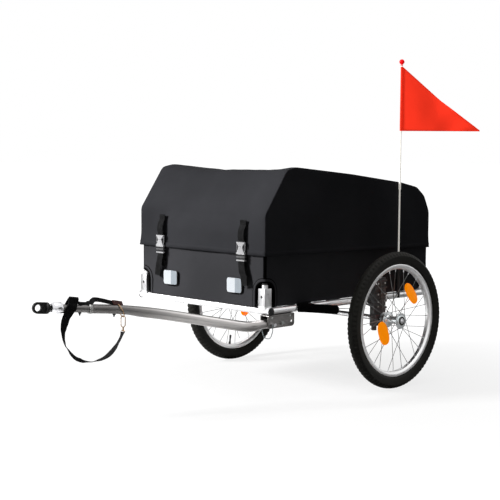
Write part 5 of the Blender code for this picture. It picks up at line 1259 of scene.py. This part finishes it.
def make_reflectors():
    """White reflectors on the box's front and red ones on its rear, each on a black back."""
    for side, sign in SIDES:
        front_x = SEWN_OFFSET + sign * REFLECTOR_X
        for end, x, y, turn, lens in (
                ("front", front_x, BAG_FRONT_Y - SEWN_GAP, 0, "clear_lens"),
                ("rear", sign * REAR_REFLECTOR_X, BAG_REAR_Y + SEWN_GAP, math.pi, "red_lens")):
            place = Matrix.Translation((x, y, REFLECTOR_Z)) @ Matrix.Rotation(turn, 4, "Z")
            place = place @ UPRIGHT
            back = plate(rounded_box_outline(*REFLECTOR_BACK), 0.0045, place, 0.001)
            dressed(f"{end}_reflector_back_{side}", back, "black_plastic", "frame")
            shape = faceted_lens(*LENS_SIZE, place @ Matrix.Translation(UP * LENS_SEAT))
            piece = dressed(f"{end}_lens_{side}", shape, lens, "frame",
                            [f"{end}_reflector_{side}"], 4)
            # The second material is the lens's darker copy, painted shade for its narrower flat.
            piece.data.materials.append(FINISHES[lens + "_edge"].material)


# Wheels

def wheel_point(x, radius, turn):
    """A point of the wheel's own frame, at an angle round its axle."""
    return Vector((x, radius * math.cos(turn), radius * math.sin(turn)))


def tyre_shape():
    """A tyre with fine ribs in the middle of its tread and blocks on both shoulders."""
    centre = TYRE_RADIUS - TYRE_SECTION
    steps = TREAD_BLOCKS * 3
    bead = [(RIM_RADIUS - 0.0050, RIM_HALF_WIDTH - 0.0020),
            (RIM_RADIUS + 0.0004, RIM_HALF_WIDTH - 0.0020),
            (RIM_RADIUS + 0.0035, RIM_HALF_WIDTH + 0.0022), (RIM_RADIUS + 0.010, 0.0196)]
    shape = bmesh.new()
    rings = []
    for step in range(steps):
        turn = 2 * math.pi * step / steps
        points = list(bead)
        for across in reversed(TREAD_ANGLES):
            way, tilt, radius = math.radians(across), abs(across), TYRE_SECTION
            if 30 <= tilt <= 56 and step % 3 == 0:
                radius -= SHOULDER_GROOVE
            elif tilt in (24, 9):
                radius -= RIB_GROOVE
            elif tilt in (16, 3) and (step + (across > 0)) % 3 == 1:
                radius -= RIB_NICK
            points.append((centre + radius * math.cos(way), radius * math.sin(way)))
        points += [(radius, -across) for radius, across in reversed(bead)]
        rings.append([shape.verts.new(wheel_point(across, radius, turn))
                      for radius, across in points])
    bridged(shape, rings, True, True)
    bmesh.ops.recalc_face_normals(shape, faces=shape.faces)
    return shape


def spoke_ends():
    """Each spoke's start at the hub and its end at the rim, for a wheel that turns about X."""
    lead = 2 * math.pi * SPOKE_CROSSINGS / SPOKES_PER_FLANGE
    for flange, offset in ((OUTER_FLANGE_X, 0), (INNER_FLANGE_X, 0.5)):
        outward = math.copysign(1, flange)
        for index in range(SPOKES_PER_FLANGE):
            trailing = index % 2
            hole = 2 * math.pi * (index + offset) / SPOKES_PER_FLANGE
            nipple = hole + (lead if trailing else -lead)
            head = flange + outward * SPOKE_LAYER * (-0.5 if trailing else 0.5)
            seat = outward * SPOKE_LAYER * (0.5 if trailing else 1.5)
            start = wheel_point(head, SPOKE_HOLE_RADIUS, hole)
            end = wheel_point(seat, RIM_INNER_RADIUS + 0.0005, nipple)
            yield start, end, outward, trailing


def make_wheel(side, sign):
    """A wheel, made round its own middle with +X outboard and then put in its place."""
    turn = Matrix.Rotation(0 if sign > 0 else math.pi, 4, "Z")
    place = Matrix.Translation((sign * WHEEL_X, 0, AXLE_Z)) @ turn
    middle = Vector()

    def fit(name, shape, finish, stands_for=(), smooth=40):
        bmesh.ops.transform(shape, matrix=place, verts=shape.verts)
        dressed(f"{name}_{side}", shape, finish, f"wheel_{side}", stands_for, smooth)

    fit("tread", tyre_shape(), "tyre_rubber", [f"tyre_{side}"], 28)
    rim = RIM_PROFILE + tuple((radius, -across) for radius, across in reversed(RIM_PROFILE[1:]))
    rim = lathe(rim, middle, ACROSS, 128, True)
    fit("rim_band", rim, "rim_alloy", [f"rim_{side}"], 30)
    hub = lathe(HUB_PROFILE, middle, ACROSS, 40, True)
    fit("hub_shell", hub, "hub_alloy", [f"hub_{side}"], 30)
    fit("hub_seal", lathe(SEAL_PROFILE, middle, ACROSS, 36), "seal_rubber")
    spokes, nipples = [], []
    for start, end, outward, trailing in spoke_ends():
        way = (end - start).normalized()
        spokes.append(rod(SPOKE_RADIUS, start, end, 6))
        head = start + ACROSS * outward * (0.0007 if trailing else -0.0007)
        spokes.append(lathe(SPOKE_HEAD_PROFILE, head, ACROSS * outward, 8))
        nipples.append(rod(0.0018, end - way * 0.011, end, 8))
    fit("spokes", joined(*spokes), "spoke_steel")
    fit("nipples", joined(*nipples), "chrome")
    out = wheel_point(0, 1, math.radians(VALVE_TURNS[side]))
    stem = lathe(VALVE_PROFILE, out * RIM_INNER_RADIUS, out, 14)
    fit("valve", stem, "black_plastic")


def make_spoke_reflectors(side, sign):
    """Orange reflectors that lie on the outer spokes and lean with them."""
    width, length, depth = SPOKE_REFLECTOR_SIZE
    for label, radius, angle, heading, seat in SPOKE_REFLECTORS:
        share = (radius - SPOKE_HOLE_RADIUS) / (RIM_INNER_RADIUS - SPOKE_HOLE_RADIUS)
        head = OUTER_FLANGE_X + SPOKE_LAYER / 2
        fall = head - 1.5 * SPOKE_LAYER
        lean = math.atan2(fall, RIM_INNER_RADIUS - SPOKE_HOLE_RADIUS)
        x = head - fall * share - seat + (SPOKE_RADIUS + 0.0003 + depth / 2) / math.cos(lean)
        radial, inward = (wheel_point(0, 1, math.radians(turn)) for turn in (angle, heading))
        normal = (ACROSS * math.cos(lean) + radial * math.sin(lean)).normalized()
        first = (inward - normal * inward.dot(normal)).normalized()
        basis = Matrix((first, normal.cross(first), normal)).transposed()
        if sign < 0:
            basis = Matrix.Rotation(math.pi, 3, "Z") @ basis
            radial = Vector((0, -radial.y, radial.z))
        centre = Vector((sign * (WHEEL_X + x), 0, AXLE_Z)) + radial * radius
        place = Matrix.Translation(centre) @ basis.to_4x4() @ Matrix.Translation((0, 0, -depth / 2))
        outline = oval_outline(width, length, 2.5)
        lens = plate(outline, depth - 0.0010, place, 0.0026, 0.0010)
        rim = plate([(a * 1.02, b * 1.01) for a, b in outline], 0.0022, place, 0.0006)
        dressed(f"spoke_lens_{label}_{side}", joined(lens, rim), "orange_lens", f"wheel_{side}",
                [f"spoke_reflector_{label}_{side}"], 30)


# Frame details

def screw(centre, axis, radius, height):
    """A domed screw head."""
    profile = [(0, height), (radius * 0.5, height * 0.92), (radius * 0.85, height * 0.55),
               (radius, 0), (0, 0)]
    return lathe(profile, centre, axis, 14)


def make_frame_details():
    """Screws and plugs of the frame, and the bolts, ribs and washers of the wheel carriers."""
    def fasten(name, shapes, finish="bolt_steel"):
        dressed(name, joined(*shapes), finish, "frame")

    heads, holes, plugs = [], [], []
    for _, sign in SIDES:
        for end, ahead in END_WAYS.items():
            face = post_foot(sign, end) + Vector((0, ahead * POST_HALF, POST_HOLE_Z))
            holes.append(screw(face, (0, ahead, 0), 0.0050, 0.0004))
            face = post_foot(sign, end) + Vector((sign * POST_HALF, 0, POST_SCREW_Z))
            heads.append(screw(face, (sign, 0, 0), 0.0026, 0.0014))
    fasten("post_screws", heads)
    fasten("post_holes", holes, "black_plastic")
    for y in TUBE_Y:
        for _, sign in SIDES:
            plugs.append(lathe(PLUG_PROFILE, (sign * TUBE_END_X, y, TUBE_Z), (sign, 0, 0), 28))
    fasten("tube_plugs", plugs, "plug_plastic")
    middle, half, z = BRACKET_PLACE
    fasten("bracket_screws", [
        screw((middle + half * way, y, z), (way, 0, 0), 0.0040, 0.0022)
        for way in (-1, 1) for y in BRACKET_SCREW_Y])

    for side, sign in SIDES:
        fasten(f"carrier_bolts_{side}", [
            screw((sign * CARRIER_X, y, z), (sign, 0, 0), 0.0034, 0.0020)
            for z in CARRIER_BOLT_Z for y in CARRIER_BOLT_Y])
        x = sign * (CARRIER_X + 0.0007)
        fasten(f"carrier_ribs_{side}", [
            rod(0.0017, *((x, y, z) for y in CARRIER_RIB_Y), 8)
            for z in CARRIER_RIB_Z], "buckle_grey")
        seat = (sign * (CARRIER_X + 0.0012), 0, AXLE_Z)
        washer = lathe(WASHER_PROFILE, seat, (sign, 0, 0), 36, True)
        fasten(f"carrier_washer_{side}", [washer], "hub_alloy")


def bar_point(along, up=0.0, across=0.0):
    """A point of the bar's own frame, measured from the collar."""
    return COLLAR_POINT + BAR_AHEAD * along + BAR_UP * up + BAR_ACROSS * across


def make_bar():
    """The bent rear tube of the drawbar, drawn down where it enters the bracket and the collar."""
    corners = (BAR_START, BAR_FIRST_BEND, BAR_SECOND_BEND, COLLAR_POINT - BAR_AHEAD * 0.0053)
    path = evenly(rounded_path(corners, (0, *BAR_BENDS, 0), 12), 0.012)
    lengths = lengths_along(path)
    tube = sweep(path, round_outline(REAR_TUBE_RADIUS, BAR_SIDES), UP)
    for number, vert in enumerate(tube.verts):
        point, length = path[number // BAR_SIDES], lengths[number // BAR_SIDES]
        full = min(held((length - BRACKET_TAPER[0]) / BRACKET_TAPER[1]),
                   held((lengths[-1] - length - COLLAR_TAPER[0]) / COLLAR_TAPER[1]))
        ease = full * full * (3 - 2 * full)
        growth = 1 + (BAR_RADIUS / REAR_TUBE_RADIUS - 1) * ease
        vert.co = point + (vert.co - point) * growth - UP * BAR_DROP * ease
    dressed("bar_tube", tube, "drawbar_alloy", "frame", ["drawbar_rear_tube"], 50)


def make_flaps():
    """Cloth flaps round the side rails, with a light cord back to the axle tube."""
    for side, sign in SIDES:
        path = smooth_route([(sign * x, y, z) for x, y, z in FLAP_ROUTE], 0.012)
        pad = sweep(path, round_outline(*FLAP_SECTION), UP)
        cap = bmesh.new()
        bmesh.ops.create_uvsphere(cap, u_segments=14, v_segments=8, radius=FLAP_CAP_RADIUS)
        bmesh.ops.scale(cap, vec=FLAP_CAP_SHARES, verts=cap.verts)
        bmesh.ops.translate(cap, vec=path[-1], verts=cap.verts)
        web = bmesh.new()
        high = [web.verts.new((sign * (BAG_HALF_WIDTH + 0.0012), point.y, BAG_BOTTOM + 0.004))
                for point in path[:8]]
        low = [web.verts.new((sign * FLAP_X, point.y, point.z + 0.006)) for point in path[:8]]
        bridged(web, [high, low], False, flip=sign > 0)
        dressed(f"rail_wrap_{side}", joined(pad, cap, web), "flap_cloth", "frame",
                smooth=60)
        route = [(sign * x, y, z) for x, y, z in FLAP_TIE_ROUTE]
        cord = sweep(smooth_route(route, 0.012), band_outline(0.010, 0.0012), ACROSS)
        dressed(f"flap_tie_{side}", cord, "binding", "frame")


def make_bar_webbing():
    """Webbing wrapped on the bar, the fold that leads off it and its loose end with a tab."""
    outer = FRONT_TUBE_RADIUS + WRAP_GAP
    spread = math.acos(outer / WRAP_MEETING)
    first = math.pi / 2 + spread
    arc = [first + (2 * math.pi - 2 * spread) * step / 30 for step in range(31)]
    ring = [(outer * math.cos(turn), outer * math.sin(turn)) for turn in arc]
    loop = [bar_point(WRAP_START + (0.036 - up) * 0.36, up, across)
            for across, up in ring + WRAP_PEAK]
    bight = [bar_point(*place) for place in BIGHT_ROUTE]
    bight += [Vector(point) for point in STRAP_ROUTE[:2]]
    lean = BAR_ACROSS * 0.72 - BAR_UP * 0.69
    tail, tab = ([bar_point(along, up, 0.001) for along, up in route]
                 for route in (TAIL_ROUTE, TAB_ROUTE))

    wrap = sweep(loop, band_outline(*WRAP_SECTION), BAR_AHEAD, True)
    dressed("bar_wrap", wrap, "webbing", "frame", ["strap_wrap"])
    for name, route, spacing, section, side, finish in (
            ("strap_fold", bight, 0.004, (0.030, 0.0018), BAR_AHEAD, "webbing"),
            ("bar_webbing", tail, 0.006, (0.020, 0.0018), lean, "webbing"),
            ("leather_tab", tab, 0.006, (0.0215, 0.0036), lean, "leather")):
        band = sweep(smooth_route(route, spacing), band_outline(*section), side)
        dressed(name, band, finish, "frame")

    ends = []
    for along, radius in ((0.036, FRONT_TUBE_RADIUS), (-0.092, REAR_TUBE_RADIUS)):
        foot = bar_point(along, -radius + 0.0005)
        ends.append(rod(0.0028, foot, foot - BAR_UP * 0.010, 12, 0.0006))
        ends.append(lathe(NUT_PROFILE, foot, -BAR_UP, 6))
    dressed("bar_bolt_ends", joined(*ends), "black_plastic", "frame")


def make_safety_strap():
    """The strap that hangs in a twisted loop from the wrap to the snap hook."""
    curve = bpy.data.curves.new("safety_webbing", "CURVE")
    curve.dimensions = "3D"
    curve.twist_mode = "MINIMUM"
    curve.extrude = WEBBING_WIDTH / 2 - WEBBING_THICKNESS / 2
    curve.bevel_depth = WEBBING_THICKNESS / 2
    curve.bevel_resolution = 1
    curve.use_fill_caps = True
    points = smooth_route(STRAP_ROUTE, 0.010)
    spline = curve.splines.new("POLY")
    spline.points.add(len(points) - 1)
    for index, (point, place) in enumerate(zip(points, spline.points)):
        place.co = (*(point + DATUM), 1)
        place.tilt = strap_tilt(index / (len(points) - 1))
    curve.materials.append(FINISHES["webbing"].material)
    strap = linked("safety_webbing", curve)
    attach(strap, "frame")
    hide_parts("safety_strap")


def strap_tilt(share):
    """Twist of the webbing along its length, eased between the listed angles."""
    for (start, first), (end, last) in zip(STRAP_TWIST, STRAP_TWIST[1:]):
        if share <= end:
            ease = (1 - math.cos(math.pi * (share - start) / (end - start))) / 2
            return math.radians(first + (last - first) * ease)
    return math.radians(STRAP_TWIST[-1][1])


# Flag

def pennant_edge(share):
    """Height of the pennant's upper edge at a share of its length."""
    waist = (PENNANT_TOP - PENNANT_BOTTOM) * PENNANT_WAIST
    fall = PENNANT_TOP - PENNANT_BOTTOM - waist
    if share < 0.5:
        return PENNANT_TOP - fall * share / 0.5
    return PENNANT_BOTTOM + waist - (waist - PENNANT_TIP) * (share - 0.5) / 0.5


def make_flag():
    """The pennant with its sleeve on the pole, and the ball on the pole's top."""
    heading = math.radians(PENNANT_HEADING)
    ahead = Vector((math.cos(heading), math.sin(heading), 0))
    side = Vector((math.sin(heading), -math.cos(heading), 0))
    foot = Vector((POLE_X, POLE_Y, 0))
    columns, rows = PENNANT_GRID
    shape = bmesh.new()
    grid = []
    for column in range(columns + 1):
        share = column / columns
        line = []
        for row in range(rows + 1):
            height = row / rows
            z = PENNANT_BOTTOM + (pennant_edge(share) - PENNANT_BOTTOM) * height
            sway = PENNANT_SWAY * math.sin(share * 7.5 + height * 2.2) * min(1.0, share * 2.2)
            sway += PENNANT_FLUTTER * math.sin(share * 19 - height * 4.0) * share
            out = ahead * (POLE_RADIUS + 0.0011 + (PENNANT_LENGTH - 0.0041) * share)
            line.append(shape.verts.new(foot + out + side * sway + UP * z))
        grid.append(line)
    for line, following in zip(grid, grid[1:]):
        for row in range(rows):
            shape.faces.new((line[row], following[row], following[row + 1], line[row + 1]))
    bmesh.ops.remove_doubles(shape, verts=shape.verts, dist=0.0001)
    area = sum(face.calc_area() for face in shape.faces)
    cloth = dressed("pennant_cloth", shape, "pennant_cloth", "pennant",
                    ["pennant"], 60)
    skinned(cloth, 0.0006, 0)
    sleeve = [(POLE_RADIUS + gap, z) for gap, z in (
        (0.0003, PENNANT_TOP), (0.0011, PENNANT_TOP), (0.0013, PENNANT_BOTTOM + 0.02),
        (0.0011, PENNANT_BOTTOM), (0.0003, PENNANT_BOTTOM))]
    sleeve = lathe(sleeve, foot, UP, 20, True)
    hem = dressed("pennant_sleeve", sleeve, "pennant_cloth", "pennant")
    arc = [math.radians(78 - 12 * step) for step in range(14)]
    ball = [(0, BALL_RADIUS)]
    ball += [(BALL_RADIUS * math.cos(turn), BALL_RADIUS * math.sin(turn)) for turn in arc]
    foot_z = -BALL_RADIUS - BALL_FOOT
    ball += [(BALL_NECK, ball[-1][1] - 0.0004), (BALL_NECK, foot_z), (0.0031, foot_z)]
    ball = lathe(ball, foot + UP * BALL_Z, UP, 28)
    dressed("flag_ball", ball, "red_plastic", "flag_pole")


# Nodes of the CAD model that keep their shape, by finish
CAD_FINISHES = {
    "frame_alloy": "front_cross_tube rear_cross_tube side_rail_left side_rail_right "
                   "floor_tube_front floor_tube_rear axle_tube",
    "hoop_steel": "lid_frame upper_hoop_front upper_hoop_rear upper_bar_left upper_bar_right",
    "drawbar_alloy": "drawbar_front_tube",
    "white_plastic": "drawbar_collar",
    "chrome": "axle_pin_left axle_pin_right axle_button_left axle_button_right "
              "hitch_sleeve lock_pin",
    "eye_iron": "hitch_eye",
    "bail_wire": "pin_bail",
    "bracket_steel": "drawbar_bracket",
    "bolt_steel": "pivot_bolt",
    "brass": "strap_ring snap_hook snap_gate",
    "carrier_plastic": "wheel_carrier_left wheel_carrier_right",
    "black_plastic": "flag_socket",
    "pole_resin": "flag_pole",
    "board": "floor_board",
}
BROKEN_EDGES = {
    "front_cross_tube": 0.0010, "rear_cross_tube": 0.0010, "hitch_eye": 0.0006,
    "drawbar_bracket": 0.0005, "wheel_carrier_left": 0.0008, "wheel_carrier_right": 0.0008,
}
STOUTER = {"pin_bail": 0.0006, "strap_ring": 0.0003, "snap_hook": 0.0003}


# Studio

def set_camera():
    """The camera, at the place and angle from which the photograph was taken."""
    heading, rise, roll = map(math.radians, (CAMERA_HEADING, CAMERA_RISE, CAMERA_ROLL))
    back = Vector((math.sin(heading) * math.cos(rise), -math.cos(heading) * math.cos(rise),
                   math.sin(rise)))
    across = UP.cross(back).normalized()
    up = back.cross(across)
    rows = (across * math.cos(roll) + up * math.sin(roll),
            up * math.cos(roll) - across * math.sin(roll), back)
    camera = linked("camera", bpy.data.cameras.new("camera"))
    place = Matrix.Translation(Vector(CAMERA_PLACE) + DATUM)
    camera.matrix_world = place @ Matrix(rows).transposed().to_4x4()
    camera.data.lens = CAMERA_LENS
    camera.data.sensor_width = 36
    camera.data.shift_x, camera.data.shift_y = CAMERA_SHIFT
    bpy.context.scene.camera = camera


def add_lamp(name, direction, size, level):
    """A soft box that gives a white card facing it the stated level."""
    data = bpy.data.lights.new(name, "AREA")
    data.shape = "SQUARE"
    data.size = size
    data.energy = level * math.pi ** 2 * LAMP_DISTANCE ** 2
    lamp = linked(name, data)
    way = Vector(direction).normalized()
    lamp.location = way * LAMP_DISTANCE + LAMP_AIM
    lamp.rotation_euler = (-way).to_track_quat("-Z", "Y").to_euler()


def set_room():
    """White for the camera, a lit room with dark bands for polished metal, dim for the rest."""
    world = bpy.data.worlds.new("studio")
    bpy.context.scene.world = world
    world.use_nodes = True
    sky = Finish("studio", None, None, tree=world.node_tree)
    background = world.node_tree.nodes["Background"]
    seen = sky.ray("Camera") + sky.ray("Transmission")
    mirrored = sky.ray("Glossy")
    ways = sky.node("ShaderNodeTexCoord", output="Generated")
    height = sky.node("ShaderNodeSeparateXYZ", sockets={0: ways}, output="Z")
    turned = sky.vectors("DOT_PRODUCT", ways, DARK_BAND_AXIS)
    band = turned.above(0.46, 0.52) * (1.0 - turned.above(0.66, 0.72))
    band = band * (1.0 - height.above(0.12, 0.50))
    wall = sky.vectors("DOT_PRODUCT", ways, DARK_WALL_WAY).above(0.950, 0.982)
    dark_wall = wall + band - wall * band
    room = (ROOM_LEVEL + height.above(0.20, 0.9) * 0.12) * (1.0 - dark_wall * 0.97)
    level = seen + mirrored * room + (1.0 - seen - mirrored) * FILL_LEVEL
    sky.feed(background.inputs["Strength"], level)
    background.inputs["Color"].default_value = (1, 1, 1, 1)


def set_floor():
    """A pale floor that runs out into white, with a dark patch beside it for polished metal."""
    shape = bmesh.new()
    bmesh.ops.create_grid(shape, x_segments=1, y_segments=1, size=40)
    floor = solid("floor", shape)
    paper = Finish("floor_paper", (0.93, 0.93, 0.93), 0.9, specular=0.0)
    seen, mirrored = paper.ray("Camera"), paper.ray("Glossy")
    spread = paper.vectors("DISTANCE", paper.place(), (0.0, 0.0, 0.0)).above(0.5, 2.6)
    away = paper.vectors("DISTANCE", paper.place(), DARK_FLOOR_PLACE).above(0.30, 0.70)
    far = (0.97 - spread * 0.35) * (1.0 - 0.75 * (1.0 - away))
    paper.set("Base Color", seen * 0.20 + mirrored * far + (1.0 - seen - mirrored) * 0.22)
    paper.set("Emission Color", seen * (0.80 + spread * 0.24))
    paper.set("Emission Strength", 1.0)
    floor.data.materials.append(paper.material)


set_camera()
make_bar_webbing()
make_safety_strap()
for finish, nodes in CAD_FINISHES.items():
    for node in nodes.split():
        refined(node, finish)
make_lid()
make_bag()
make_box_straps()
make_buckles()
make_reflectors()
for side, sign in SIDES:
    make_wheel(side, sign)
    make_spoke_reflectors(side, sign)
make_frame_details()
make_bar()
make_flaps()
make_flag()
set_room()
set_floor()
for lamp in LAMPS:
    add_lamp(*lamp)

bpy.context.scene.view_settings.view_transform = "Standard"
bpy.context.view_layer.update()
